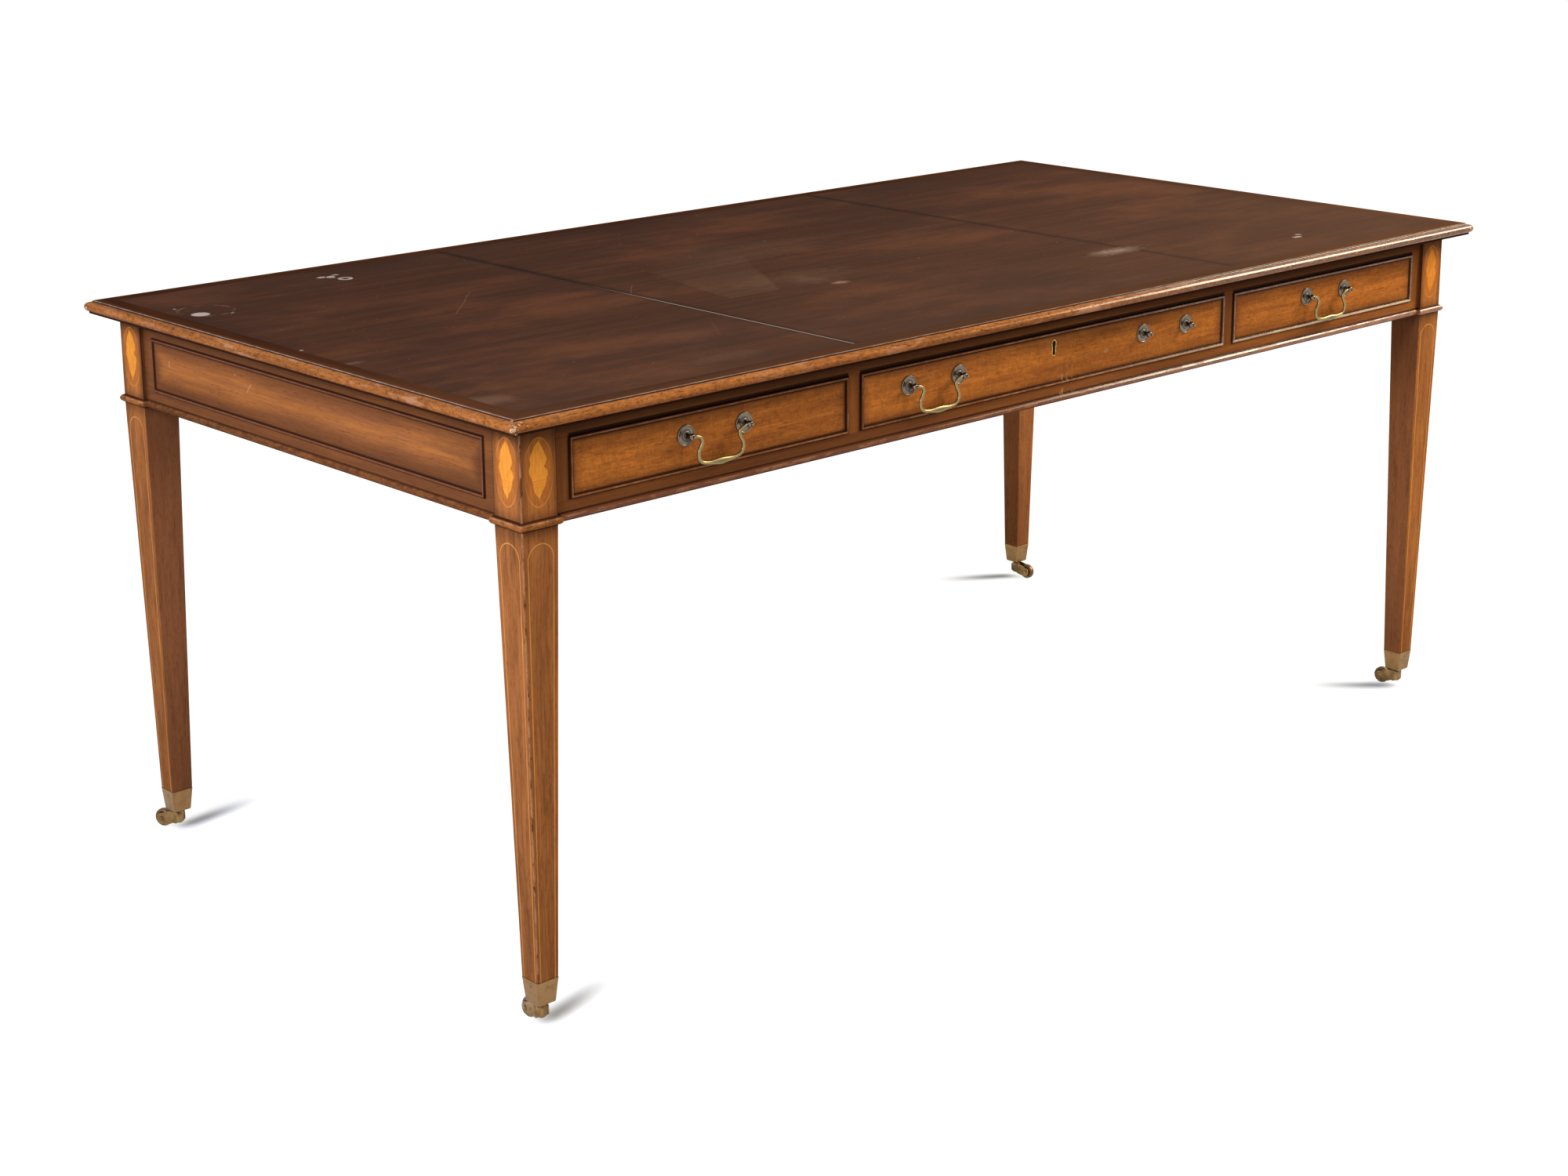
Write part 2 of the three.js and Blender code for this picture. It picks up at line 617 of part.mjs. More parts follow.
// Side board with tails at both ends and the groove for the bottom on its inner face
function drawerSide(halfWidth, sign) {
  const outside = sign * halfWidth;
  const inside = sign * (halfWidth - SIDE_THICK);
  const frontEdge = tailEdge(FRONT_BASE, SIDE_TOP, FRONT_TAILS, FRONT_TAIL_BASE, FRONT_TAIL_TIP, 0);
  const backEdge = tailEdge(GROOVE_TOP, SIDE_TOP, BACK_TAILS, BACK_TAIL_BASE, DRAWER_DEPTH, 0);
  const outline = polygon([
    [BACK_TAIL_BASE, SIDE_BASE],
    ...backEdge,
    [BACK_TAIL_BASE, SIDE_TOP],
    [FRONT_TAIL_BASE, SIDE_TOP],
    ...frontEdge.reverse(),
    [FRONT_TAIL_BASE, SIDE_BASE],
  ]);
  const board = longPrism(outline, Math.min(outside, inside), Math.max(outside, inside));
  const grooveEnd = inside + sign * (GROOVE_DEPTH + GLUE_LINE);
  const overrun = inside - sign * CUT_OVERRUN;
  const groove = block(
    [Math.min(grooveEnd, overrun), 0, GROOVE_BASE],
    [Math.max(grooveEnd, overrun), DRAWER_DEPTH + CUT_OVERRUN, GROOVE_TOP],
  );
  return cut(board, groove);
}

// Front with its cock bead, the sockets of the tails and the groove for the bottom
function drawerFront(halfWidth) {
  const board = joined(
    block([-halfWidth, 0, FRONT_BASE], [halfWidth, FRONT_THICK, FRONT_TOP]),
    beadFrame(-halfWidth, FRONT_BASE, halfWidth, FRONT_TOP),
  );
  const socketStart = halfWidth - SIDE_THICK - GLUE_LINE;
  const socketEnd = halfWidth + CUT_OVERRUN;
  const base = FRONT_TAIL_BASE + CUT_OVERRUN;
  const sockets = [[-socketEnd, -socketStart], [socketStart, socketEnd]].flatMap(([from, to]) => [
    ...tailCutters(FRONT_BASE, SIDE_TOP, FRONT_TAILS, FRONT_TAIL_BASE, FRONT_LAP, from, to),
    block([from, FRONT_THICK, SIDE_BASE], [to, base, SIDE_TOP]),
  ]);
  const groove = block(
    [-socketStart, FRONT_THICK - GROOVE_DEPTH - GLUE_LINE, GROOVE_BASE],
    [socketStart, FRONT_THICK + CUT_OVERRUN, GROOVE_TOP],
  );
  return cut(board, ...sockets, groove);
}

// Back above the bottom board, its pins filling the spaces between the sides' tails
function drawerBack(halfWidth) {
  const board = block(
    [-halfWidth, DRAWER_DEPTH - BACK_THICK, GROOVE_TOP],
    [halfWidth, DRAWER_DEPTH, SIDE_TOP],
  );
  const socketStart = halfWidth - SIDE_THICK - GLUE_LINE;
  const socketEnd = halfWidth + CUT_OVERRUN;
  const sockets = [[-socketEnd, -socketStart], [socketStart, socketEnd]].flatMap(([from, to]) => (
    tailCutters(GROOVE_TOP, SIDE_TOP, BACK_TAILS, BACK_TAIL_BASE, DRAWER_DEPTH + GLUE_LINE, from, to)
  ));
  return cut(board, ...sockets);
}

// Bottom board held in the grooves of the front and the sides, running under the back
function drawerBottom(halfWidth) {
  const reach = halfWidth - SIDE_THICK + GROOVE_DEPTH;
  return block(
    [-reach, FRONT_THICK - GROOVE_DEPTH, GROOVE_BASE + GLUE_LINE],
    [reach, DRAWER_DEPTH - BACK_THICK / 2, GROOVE_TOP - GLUE_LINE],
  );
}

// Rosette, stem, ball and finial turned about the axis of the stem, then laid towards the front
function rosetteGeometry(boreSide) {
  const rimInside = ROSETTE_RADIUS - ROSETTE_RIM_WIDTH;
  const ballAngle = Math.asin(STEM_RADIUS / BALL_RADIUS);
  const finialAngle = Math.asin(FINIAL_RADIUS / BALL_RADIUS);
  const ball = [];
  for (let i = 0; i <= ARC_STEPS; i += 1) {
    const angle = ballAngle + ((Math.PI - finialAngle - ballAngle) * i) / ARC_STEPS;
    ball.push([BALL_RADIUS * Math.sin(angle), PIVOT_REACH - BALL_RADIUS * Math.cos(angle)]);
  }
  const tip = PIVOT_REACH + BALL_RADIUS + FINIAL_LENGTH;
  const knob = turned([
    [0, GLUE_LINE],
    [ROSETTE_RADIUS, GLUE_LINE],
    [ROSETTE_RADIUS, ROSETTE_RIM / 2],
    [ROSETTE_RADIUS - ROSETTE_RIM_WIDTH / 2, ROSETTE_RIM],
    [rimInside, ROSETTE_DISH],
    [ROSETTE_BOSS_RADIUS, ROSETTE_RIM],
    [STEM_RADIUS, ROSETTE_BOSS],
    ...ball,
    [FINIAL_RADIUS, tip - FINIAL_RADIUS / 2],
    [FINIAL_RADIUS / 2, tip],
    [0, tip],
  ], ROSETTE_SEGMENTS).rotateX(Math.PI / 2);
  const mouth = boreSide * (BALL_RADIUS + CUT_OVERRUN);
  const end = boreSide * (BALL_RADIUS - PIVOT_BORE_DEPTH);
  const bore = new THREE.CylinderGeometry(PIVOT_BORE_RADIUS, PIVOT_BORE_RADIUS, Math.abs(mouth - end), BAIL_SIDES);
  bore.rotateZ(Math.PI / 2).translate((mouth + end) / 2, -PIVOT_REACH, 0);
  return cut(knob, bore);
}

// Half of the bail's centreline, from the pin in the post's bore to the middle of the grip
function bailCurve() {
  const halfSpan = PULL_SPACING / 2;
  const pinEnd = halfSpan - BALL_RADIUS + PIVOT_BORE_DEPTH - RUNNING_GAP;
  const arm = BAIL_ARM_IN_SHARES.map((share, i) => [
    halfSpan - share * BAIL_NECK_IN,
    -BAIL_ARM_DROP_SHARES[i] * BAIL_DROP,
  ]);
  const left = [[pinEnd, 0], ...arm].map(([x, z]) => new THREE.Vector3(-x, 0, z));
  const right = [...left].reverse().map((point) => new THREE.Vector3(-point.x, 0, point.z));
  return new THREE.CatmullRomCurve3([...left, ...right], false, 'centripetal');
}

// Radius of the bail at a point: thin as a pin, then the arm, swelling to a thick grip in the middle
function bailRadius(point, gripRadius) {
  const halfSpan = PULL_SPACING / 2;
  const intoArm = THREE.MathUtils.smoothstep(halfSpan - BALL_RADIUS - Math.abs(point.x), 0, BALL_RADIUS / 2);
  const armRadius = THREE.MathUtils.lerp(BAIL_PIN_RADIUS, BAIL_ARM_RADIUS, Math.max(intoArm, point.z < -BAIL_PIN_RADIUS ? 1 : 0));
  const along = Math.min(1, Math.abs(point.x) / (BAIL_GRIP_LENGTH / 2));
  const swell = point.z < -BAIL_DROP / 2 ? (1 + Math.cos(Math.PI * along)) / 2 : 0;
  return THREE.MathUtils.lerp(armRadius, gripRadius, swell);
}

// A unit cylinder whose rings are carried along the bail's centreline
function bailGeometry() {
  const curve = bailCurve();
  const geometry = new THREE.CylinderGeometry(1, 1, 1, BAIL_SIDES, BAIL_STEPS);
  const place = geometry.attributes.position;
  for (let i = 0; i < place.count; i += 1) {
    const share = THREE.MathUtils.clamp(place.getY(i) + 0.5, 0, 1);
    const centre = curve.getPointAt(share);
    const tangent = curve.getTangentAt(share);
    const inPlane = place.getX(i) * bailRadius(centre, BAIL_GRIP_RADIUS);
    const outward = place.getZ(i) * bailRadius(centre, BAIL_GRIP_DEPTH_RADIUS);
    place.setXYZ(i, centre.x - tangent.z * inPlane, outward, centre.z + tangent.x * inPlane);
  }
  return geometry;
}

// Pull on a drawer's front: two rosettes, and the bail between them where it has one
function addPull(name, x, drawer, withBail) {
  const height = FRONT_TOP - PULL_DROP;
  for (const [side, sign] of [['left', -1], ['right', 1]]) {
    const rosette = piece(`rosette_${name}_${side}`, rosetteGeometry(-sign), darkBrass(), drawer);
    rosette.position.set(x + (sign * PULL_SPACING) / 2, 0, height);
  }
  if (withBail) {
    const bail = piece(`bail_${name}`, bailGeometry(), agedBrass(), drawer);
    bail.position.set(x, -PIVOT_REACH, height);
  }
}

// Keyhole outline round a middle point: a round head, a narrow waist and a rounder foot
function keyholeShape(height, grow) {
  const headRadius = KEYHOLE_HEAD_RADIUS + grow;
  const footRadius = KEYHOLE_FOOT_RADIUS + grow;
  const waist = KEYHOLE_WAIST / 2 + grow;
  const headMiddle = height + KEYHOLE_HEIGHT / 2 - KEYHOLE_HEAD_RADIUS;
  const footMiddle = height - KEYHOLE_HEIGHT / 2 + KEYHOLE_FOOT_RADIUS;
  const shape = new THREE.Shape();
  shape.moveTo(headRadius, headMiddle);
  shape.absarc(0, headMiddle, headRadius, 0, Math.PI, false);
  shape.lineTo(-waist, height);
  shape.absarc(0, footMiddle, footRadius, Math.PI, 2 * Math.PI, false);
  shape.lineTo(waist, height);
  return shape;
}

// Lock case let into the back of the front, hollow, with a slot on top for the bolt and a keyhole
function lockCase(keyholeHeight) {
  const back = FRONT_THICK;
  const front = FRONT_THICK - LOCK_THICK + GLUE_LINE;
  const half = LOCK_WIDTH / 2;
  const top = FRONT_TOP - GLUE_LINE;
  const low = top - LOCK_HEIGHT;
  const slotHalf = BOLT_WIDTH / 2 + RUNNING_GAP;
  const hollow = block(
    [-half + LOCK_WALL, front + LOCK_WALL, low + LOCK_WALL],
    [half - LOCK_WALL, back - LOCK_WALL, top - LOCK_WALL],
  );
  const slot = block([-slotHalf, front + LOCK_WALL, low + LOCK_HEIGHT / 2], [slotHalf, back - LOCK_WALL, top + CUT_OVERRUN]);
  const keyhole = frontPrism(keyholeShape(keyholeHeight, -LINER_WALL), front + 2 * LOCK_WALL, front - CUT_OVERRUN);
  return cut(block([-half, front, low], [half, back, top]), hollow, slot, keyhole);
}

function lockBolt() {
  const front = FRONT_THICK - LOCK_THICK + GLUE_LINE + LOCK_WALL + RUNNING_GAP;
  const back = FRONT_THICK - LOCK_WALL - RUNNING_GAP;
  const top = FRONT_TOP - RUNNING_GAP;
  return block([-BOLT_WIDTH / 2, front, top - BOLT_HEIGHT], [BOLT_WIDTH / 2, back, top]);
}

function keyholeLiner(keyholeHeight) {
  const outline = keyholeShape(keyholeHeight, 0);
  outline.holes.push(keyholeShape(keyholeHeight, -LINER_WALL));
  return frontPrism(outline, LINER_DEPTH, -LINER_PROUD);
}

// The middle front is also cut for the lock case, the liner and the key
function frontForLock(front, keyholeHeight) {
  const half = LOCK_WIDTH / 2 + GLUE_LINE;
  const pocket = block(
    [-half, FRONT_THICK - LOCK_THICK, FRONT_TOP - LOCK_HEIGHT - 2 * GLUE_LINE],
    [half, FRONT_THICK + CUT_OVERRUN, FRONT_TOP + CUT_OVERRUN],
  );
  const hole = frontPrism(keyholeShape(keyholeHeight, GLUE_LINE), FRONT_THICK, -CUT_OVERRUN);
  return cut(front, pocket, hole);
}

function addLock(drawer, keyholeHeight) {
  piece('lock_case', lockCase(keyholeHeight), lockSteel(), drawer);
  piece('lock_bolt', lockBolt(), agedBrass(), drawer);
  piece('keyhole_liner', keyholeLiner(keyholeHeight), agedBrass(), drawer);
}

function addDrawer(name, x, openingWidth, pulls, hasLock) {
  const halfWidth = openingWidth / 2 - DRAWER_GAP;
  const drawer = new THREE.Group();
  drawer.position.set(x, RAIL_FACE, OPENING_BASE);
  desk.add(drawer);
  const keyholeHeight = FRONT_TOP - KEYHOLE_DROP;
  const front = drawerFront(halfWidth);
  piece(`drawer_${name}_front`, hasLock ? frontForLock(front, keyholeHeight) : front, honeyMahogany(), drawer);
  piece(`drawer_${name}_side_left`, drawerSide(halfWidth, -1), drawerOak(), drawer);
  piece(`drawer_${name}_side_right`, drawerSide(halfWidth, 1), drawerOak(), drawer);
  piece(`drawer_${name}_back`, drawerBack(halfWidth), drawerOak(), drawer);
  piece(`drawer_${name}_bottom`, drawerBottom(halfWidth), drawerOak(), drawer);
  for (const [pull, offset, withBail] of pulls) {
    addPull(pull, offset, drawer, withBail);
  }
  if (hasLock) {
    addLock(drawer, keyholeHeight);
  }
}

function addDrawers() {
  const sideMiddle = (STILE_INSIDE + DIVIDER_OUTSIDE) / 2;
  addDrawer('left', -sideMiddle, SIDE_OPENING_WIDTH, [['outer_left', 0, true]], false);
  const pullOffset = CENTRE_OPENING_WIDTH / 2 - CENTRE_PULL_INSET;
  addDrawer('middle', 0, CENTRE_OPENING_WIDTH, [
    ['mid_left', -pullOffset, true],
    ['mid_right', pullOffset, false],
  ], true);
  addDrawer('right', sideMiddle, SIDE_OPENING_WIDTH, [['outer_right', 0, true]], false);
}

addTop();
addLegWithCaster('front_left', -1, -1, FRONT_LEFT_TRAIL_DEGREES);
addLegWithCaster('front_right', 1, -1, FRONT_RIGHT_TRAIL_DEGREES);
addLegWithCaster('back_left', -1, 1, BACK_LEFT_TRAIL_DEGREES);
addLegWithCaster('back_right', 1, 1, BACK_RIGHT_TRAIL_DEGREES);
addApron('apron_right', SHORT_SPAN, BODY_LENGTH / 2 - APRON_SETBACK, 1);
addApron('apron_back', LONG_SPAN, BODY_DEPTH / 2 - APRON_SETBACK, 2);
addApron('apron_left', SHORT_SPAN, BODY_LENGTH / 2 - APRON_SETBACK, 3);
addFrontRails();
addGuides();
addDrawers();

export default desk;
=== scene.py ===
"""Looks of a long mahogany writing desk: its woods, inlays and brasses, and a plain studio round it."""

import json
import math

import bmesh
import bpy
import numpy as np
from bpy.props import FloatProperty, FloatVectorProperty, IntProperty, PointerProperty
from mathutils import Matrix, Vector


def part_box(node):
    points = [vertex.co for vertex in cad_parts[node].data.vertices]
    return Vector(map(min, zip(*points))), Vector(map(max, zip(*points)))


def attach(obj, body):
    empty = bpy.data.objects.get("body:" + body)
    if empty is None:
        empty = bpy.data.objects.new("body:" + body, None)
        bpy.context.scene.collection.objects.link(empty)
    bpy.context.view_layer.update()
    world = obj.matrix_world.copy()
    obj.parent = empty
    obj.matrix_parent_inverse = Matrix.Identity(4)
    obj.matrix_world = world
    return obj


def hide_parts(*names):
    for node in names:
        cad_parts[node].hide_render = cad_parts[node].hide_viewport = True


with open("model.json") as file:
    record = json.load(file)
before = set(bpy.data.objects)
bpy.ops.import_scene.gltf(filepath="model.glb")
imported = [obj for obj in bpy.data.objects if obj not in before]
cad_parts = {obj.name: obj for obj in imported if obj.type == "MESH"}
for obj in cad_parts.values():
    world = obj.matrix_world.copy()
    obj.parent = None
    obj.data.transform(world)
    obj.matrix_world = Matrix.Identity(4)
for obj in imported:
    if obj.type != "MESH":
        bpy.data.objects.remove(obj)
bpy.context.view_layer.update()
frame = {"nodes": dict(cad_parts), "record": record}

bl_info = {
    "name": "Mahogany writing desk",
    "version": (1, 0, 0),
    "blender": (4, 5, 0),
    "location": "3D View > Sidebar > Desk",
    "description": "Dresses a mahogany writing desk with worn veneer, inlay and aged brass",
    "category": "Object",
}

MM = 0.001
BODIES = frame["record"]["behaviour"]["bodies"]
BODY_OF = {node: body for body, nodes in BODIES.items() for node in nodes}
CORNERS = {"front_left": (-1, -1), "front_right": (1, -1), "back_left": (-1, 1), "back_right": (1, 1)}
EDGES = ("front", "right", "back", "left")
GUIDES = ("left", "mid_left", "mid_right", "right")
DRAWER_GRAIN = {"left": 5.3, "middle": 8.9, "right": 12.1}
PULL_HAS_BAIL = {"outer_left": True, "mid_left": True, "mid_right": False, "outer_right": True}

# Places on the solids that the paints and the new surfaces follow, in metres.
TOP_JOINT = 376 * MM
TOP_OVERHANG = 35 * MM
LEG_CENTRE = (874 * MM, 419 * MM)
POST_HALF, ANKLE_HALF = 26 * MM, 15.5 * MM
CUP_TOP, ARCH_TOP, BEAD_BASE, BEAD_TOP = 61.1 * MM, 604 * MM, 622 * MM, 632 * MM
CASE_BEAD = 632.5 * MM
PANEL_INSET, PANEL_FOOT, PANEL_HEAD = 22 * MM, 646.8 * MM, 720.2 * MM


def rgb(red, green, blue):
    """A colour from display values of 0 to 255, in the linear values that shaders take."""
    return tuple(
        c / 12.92 if c <= 0.04045 else ((c + 0.055) / 1.055) ** 2.4
        for c in (red / 255, green / 255, blue / 255)
    )


def dim(shade, *shares):
    """A colour times one share, or times a share for each of its red, green and blue."""
    return tuple(c * share for c, share in zip(shade, shares * 3))


def colour(name, description, *shade):
    """A colour that a user may change, given here in display values."""
    return FloatVectorProperty(
        name=name, description=description, default=rgb(*shade), subtype="COLOR", min=0, max=1
    )


def length(name, description, millimetres):
    """A length that a user may change, given here in millimetres."""
    kind = {"unit": "LENGTH", "subtype": "DISTANCE", "precision": 5}
    return FloatProperty(name=name, description=description, default=millimetres * MM, **kind)


def power(name, description, watts):
    """The power of a light, which a user may change."""
    return FloatProperty(name=name, description=description, default=watts, unit="POWER", min=0)


class DeskWoods(bpy.types.PropertyGroup):
    """Colours of the woods and how worn they are"""

    top_brown: colour("Top brown", "Main tone of the polished top", 79, 44, 24)
    top_dark: colour("Top dark", "Dark streaks of the top", 54, 31, 21)
    top_red: colour("Top red", "Rubbed red patches of the top", 107, 59, 32)
    # Also painted sheen and painted reflections on the top and the moulding's fillet.
    top_haze_and_sheen: colour("Top haze", "Dust and faded polish on the top", 126, 94, 73)
    top_mark: colour("Top marks", "Pale rings and spots on the top", 196, 178, 168)
    edge_orange: colour("Edge orange", "Round nose of the edge moulding", 180, 108, 49)
    # Also painted shade and shadow: on the moulding's nose and underside, in the gaps beside the drawers and on the
    # rails under the top.
    edge_dirt_and_shade: colour("Edge dark", "Pits and dirt of the edge moulding", 58, 34, 24)
    # Also painted highlights on the beads of the legs, drawers and bottom rail, and painted sheen on the moulding's
    # nose.
    edge_wear_and_highlight: colour("Edge pale", "Rubbed arrises of the moulding", 198, 142, 104)
    # Also a painted highlight along the bottom bead of the drawer fronts.
    bare_wood_and_highlight: colour("Bare wood", "Fresh chips at the corners", 222, 188, 148)
    case_honey: colour("Case honey", "Middle of the panels", 211, 128, 59)
    case_brown: colour("Case brown", "Main tone of the case", 152, 92, 52)
    drawer_honey: colour("Drawer honey", "Middle of the drawer fronts", 232, 138, 56)
    drawer_brown: colour("Drawer brown", "Main tone of the drawer fronts", 180, 102, 46)
    case_dark: colour("Case dark", "Shaded edges of the panels", 78, 44, 27)
    bead_red: colour("Bead red", "Cock beads round the drawers", 104, 58, 36)
    leg_brown: colour("Leg brown", "Main tone of the legs", 189, 117, 61)
    leg_dark: colour("Leg dark", "Dark streaks of the legs", 128, 77, 41)
    # The leg colour again for the inner faces, set to the light they get: painted light and shade.
    leg_inside_shade_copy: colour("Leg inside", "Inner faces of the legs", 168, 104, 62)
    satinwood: colour("Satinwood", "Shell in the oval inlay", 255, 162, 58)
    inlay_ground: colour("Inlay ground", "Ground round the shell in the oval inlay", 211, 120, 50)
    stringing: colour("Stringing", "Thin light lines let into the legs", 222, 144, 70)
    oak: colour("Oak", "Drawer sides and guides", 168, 132, 88)
    oak_dark: colour("Oak dark", "Grain and dirt of the oak", 116, 84, 54)


class DeskBrasses(bpy.types.PropertyGroup):
    """Colours of the metal fittings"""

    cup: colour("Cup brass", "Square cups of the casters", 147, 113, 73)
    cup_dark: colour("Cup tarnish", "Tarnish on the cups", 110, 79, 47)
    caster: colour("Caster brass", "Horns of the casters", 150, 118, 76)
    wheel: colour("Wheel bronze", "Wheels of the casters", 122, 93, 65)
    wheel_dark: colour("Wheel dirt", "Dirt on the wheels and horns", 44, 34, 27)
    bail: colour("Bail brass", "Swan-neck bails", 160, 142, 98)
    # Also painted shade on the faces of the bails, between their light rims.
    bail_tarnish_and_shade: colour("Bail tarnish", "Tarnish on the bails", 82, 68, 40)
    rosette: colour("Rosette metal", "Round rosettes", 122, 110, 97)
    rosette_dark: colour("Rosette dark", "Hollows of the rosettes", 40, 34, 28)
    liner: colour("Liner brass", "Liner of the keyhole", 223, 195, 131)
    steel: colour("Steel", "Case of the lock", 120, 114, 104)


class DeskShapes(bpy.types.PropertyGroup):
    """Fine sizes that the looks add to the solids"""

    arris: length("Arris", "Rounding of the sharp wooden edges", 0.5)
    leg_arris: length("Leg arris", "Rounding of the corners of the legs", 0.9)
    moulding_arris: length("Moulding arris", "Rounding of the fillet above the nose", 0.7)
    moulding_dent: length("Moulding dents", "Depth of the dents along the moulding", 0.35)
    corner_wear: length("Corner wear", "Wood lost at the corners of the top", 1.4)
    cup_corner: length("Cup corner", "Rounding of the upright corners of the cups", 1.3)
    pin_head: length("Pin head", "Radius of the pin in the side of a cup", 1.5)
    inlay_half_width: length("Inlay half width", "Half width of the oval inlay", 20.6)
    inlay_half_height: length("Inlay half height", "Half height of the oval inlay", 40.5)
    inlay_height: length("Inlay height", "Height of the middle of the oval inlay", 688)
    stringing_width: length("Stringing width", "Width of the light lines on the legs", 1.2)
    bail_sides: IntProperty(name="Bail sides", description="Points round a bail", default=20, min=8, max=64)
    turning_sides: IntProperty(
        name="Turning sides", description="Points round a rosette or wheel", default=56, min=16, max=128
    )


class DeskStudio(bpy.types.PropertyGroup):
    """Camera and light of the studio"""

    lens: FloatProperty(name="Lens", description="Focal length in millimetres", default=61.61, min=10, max=300)
    left_power: power("Left light", "Power of the soft light at the left end", 95)
    right_power: power("Right light", "Power of the soft light at the right, in front", 184)
    sky: FloatProperty(name="Sky", description="Strength of the light from all round", default=0.38, min=0, max=2)
    floor: colour("Floor", "Colour of the floor", 192, 192, 192)


def both_ways(operation):
    """The method of an operator and that of its reflected form, each of which adds a Math node."""

    def forwards(self, other):
        return self.paint.math(operation, self, other)

    def reflected(self, other):
        return self.paint.math(operation, other, self)

    return forwards, reflected


class Wire:
    """One socket of a shader tree. Arithmetic on it adds Math nodes: & gives the smaller value, | the larger."""

    def __init__(self, paint, socket):
        self.paint = paint
        self.socket = socket

    __add__, __radd__ = both_ways("ADD")
    __sub__, __rsub__ = both_ways("SUBTRACT")
    __mul__, __rmul__ = both_ways("MULTIPLY")
    __truediv__, __rtruediv__ = both_ways("DIVIDE")
    __pow__, __rpow__ = both_ways("POWER")
    __and__, __rand__ = both_ways("MINIMUM")
    __or__, __ror__ = both_ways("MAXIMUM")

    def __abs__(self):
        return self.paint.math("ABSOLUTE", self)

    def rise(self, low, high):
        """0 below low and 1 above high, with a smooth rise between; low may be above high."""
        backwards = low > high
        ends = {"From Min": min(low, high), "From Max": max(low, high)}
        turned_round = {"To Min": 1.0 if backwards else 0.0, "To Max": 0.0 if backwards else 1.0}
        sockets = {"Value": self, **ends, **turned_round}
        return self.paint.node("ShaderNodeMapRange", {"interpolation_type": "SMOOTHSTEP"}, sockets)

    def line(self, half_width, soft):
        """1 where a distance is within half_width, and 0 where it is further than that plus soft."""
        return abs(self).rise(half_width + soft, half_width)


class Paint:
    """The node tree of one material, or of the world."""

    def __init__(self, name, kind="materials"):
        self.owner = getattr(bpy.data, kind).new(name)
        self.owner.use_nodes = True
        self.tree = self.owner.node_tree
        self.tree.nodes.clear()

    def node(self, kind, settings=None, sockets=None, output=0):
        """Adds a node. Its settings come first, then the values or links of its sockets."""
        made = self.tree.nodes.new(kind)
        for name, value in (settings or {}).items():
            if name == "stops":
                for at, (position, shade) in enumerate(value):
                    stop = made.color_ramp.elements[at] if at < 2 else made.color_ramp.elements.new(position)
                    stop.position, stop.color = position, (*shade, 1.0)
            else:
                setattr(made, name, value)
        for name, value in (sockets or {}).items():
            if isinstance(value, Wire):
                self.tree.links.new(value.socket, made.inputs[name])
            else:
                made.inputs[name].default_value = value
        return Wire(self, made.outputs[output]) if made.outputs else None

    def math(self, operation, *terms):
        return self.node("ShaderNodeMath", {"operation": operation}, dict(enumerate(terms)))

    def parts(self, vector):
        split = self.node("ShaderNodeSeparateXYZ", sockets={0: vector}).socket.node
        return [Wire(self, out) for out in split.outputs]

    def place(self):
        """Object coordinates in metres, which are the desk's own, as x, y and z."""
        return self.parts(self.node("ShaderNodeTexCoord", output="Object"))

    def uv(self):
        return self.parts(self.node("ShaderNodeUVMap", {"uv_map": "UVMap"}))[:2]

    def attribute(self, name):
        return self.node("ShaderNodeAttribute", {"attribute_name": name}, output="Fac")

    def seen(self):
        """1 for rays that see the background as white: the camera's, and those through polish and glass."""
        rays = ("Is Camera Ray", "Is Glossy Ray", "Is Transmission Ray")
        camera, glossy, through = (self.node("ShaderNodeLightPath", output=ray) for ray in rays)
        return camera | glossy | through

    def noise(self, place, size, detail=1.0, rough=0.5, wander=0.0):
        """Noise from 0 to 1 at a place of one to three values, whose lumps are about as wide as size, in metres."""
        vector = self.node("ShaderNodeCombineXYZ", sockets=dict(enumerate(place)))
        look = {"Scale": 1.0 / size, "Detail": detail, "Roughness": rough, "Distortion": wander}
        return self.node("ShaderNodeTexNoise", {"noise_dimensions": "3D"}, {"Vector": vector, **look})

    def layers(self, shade, *overlays):
        """A colour with others laid over it, one after another, each by its own mask."""
        for mask, over in overlays:
            sockets = {0: mask}
            for at, each in ((6, shade), (7, over)):
                sockets[at] = each if isinstance(each, Wire) else (*each, 1.0)
            shade = self.node("ShaderNodeMix", {"data_type": "RGBA"}, sockets, output=2)
        return shade

    def finish(self, shade, rough, height, depth, constants, coat=None):
        """The shader, its bump and the output. Constants go straight on the shader's sockets."""
        bump = self.node("ShaderNodeBump", sockets={"Height": height, "Distance": depth, "Strength": 1.0})
        sockets = {"Base Color": shade, "Roughness": rough, "Normal": bump, **constants}
        if coat is not None:
            sockets["Coat Weight"] = coat
        shader = self.node("ShaderNodeBsdfPrincipled", sockets=sockets)
        self.node("ShaderNodeOutputMaterial", sockets={"Surface": shader})
        return self.owner


def polish(roughness=0.2, ior=1.5):
    """The constants of a polished wood, whose gloss is all in its coat."""
    return {"Specular IOR Level": 0.0, "Coat Roughness": roughness, "Coat IOR": ior}


def distance(u, v):
    """Length of the line whose parts are u and v."""
    return (u * u + v * v) ** 0.5


def spot(x, y, middle_x, middle_y, radius_x, radius_y):
    """Distance from a middle as a share of the radii of an ellipse."""
    return distance((x - middle_x) * (1.0 / radius_x), (y - middle_y) * (1.0 / radius_y))


def along_and_aside(x, y, start, heading):
    """A place measured from a start, along a heading in radians and square to it."""
    c, s = math.cos(heading), math.sin(heading)
    dx, dy = x - start[0], y - start[1]
    return dx * c + dy * s, dy * c - dx * s


def edge_depth(u, v, low, high):
    """How far a point lies inside a rectangle, which is the least of the distances to its four sides."""
    across, up = ((b - a) / 2 - abs(c - (a + b) / 2) for c, a, b in zip((u, v), low, high))
    return across & up


def middle_of(node):
    """Middle of a CAD node's box."""
    return [(a + b) / 2 for a, b in zip(*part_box(node))]


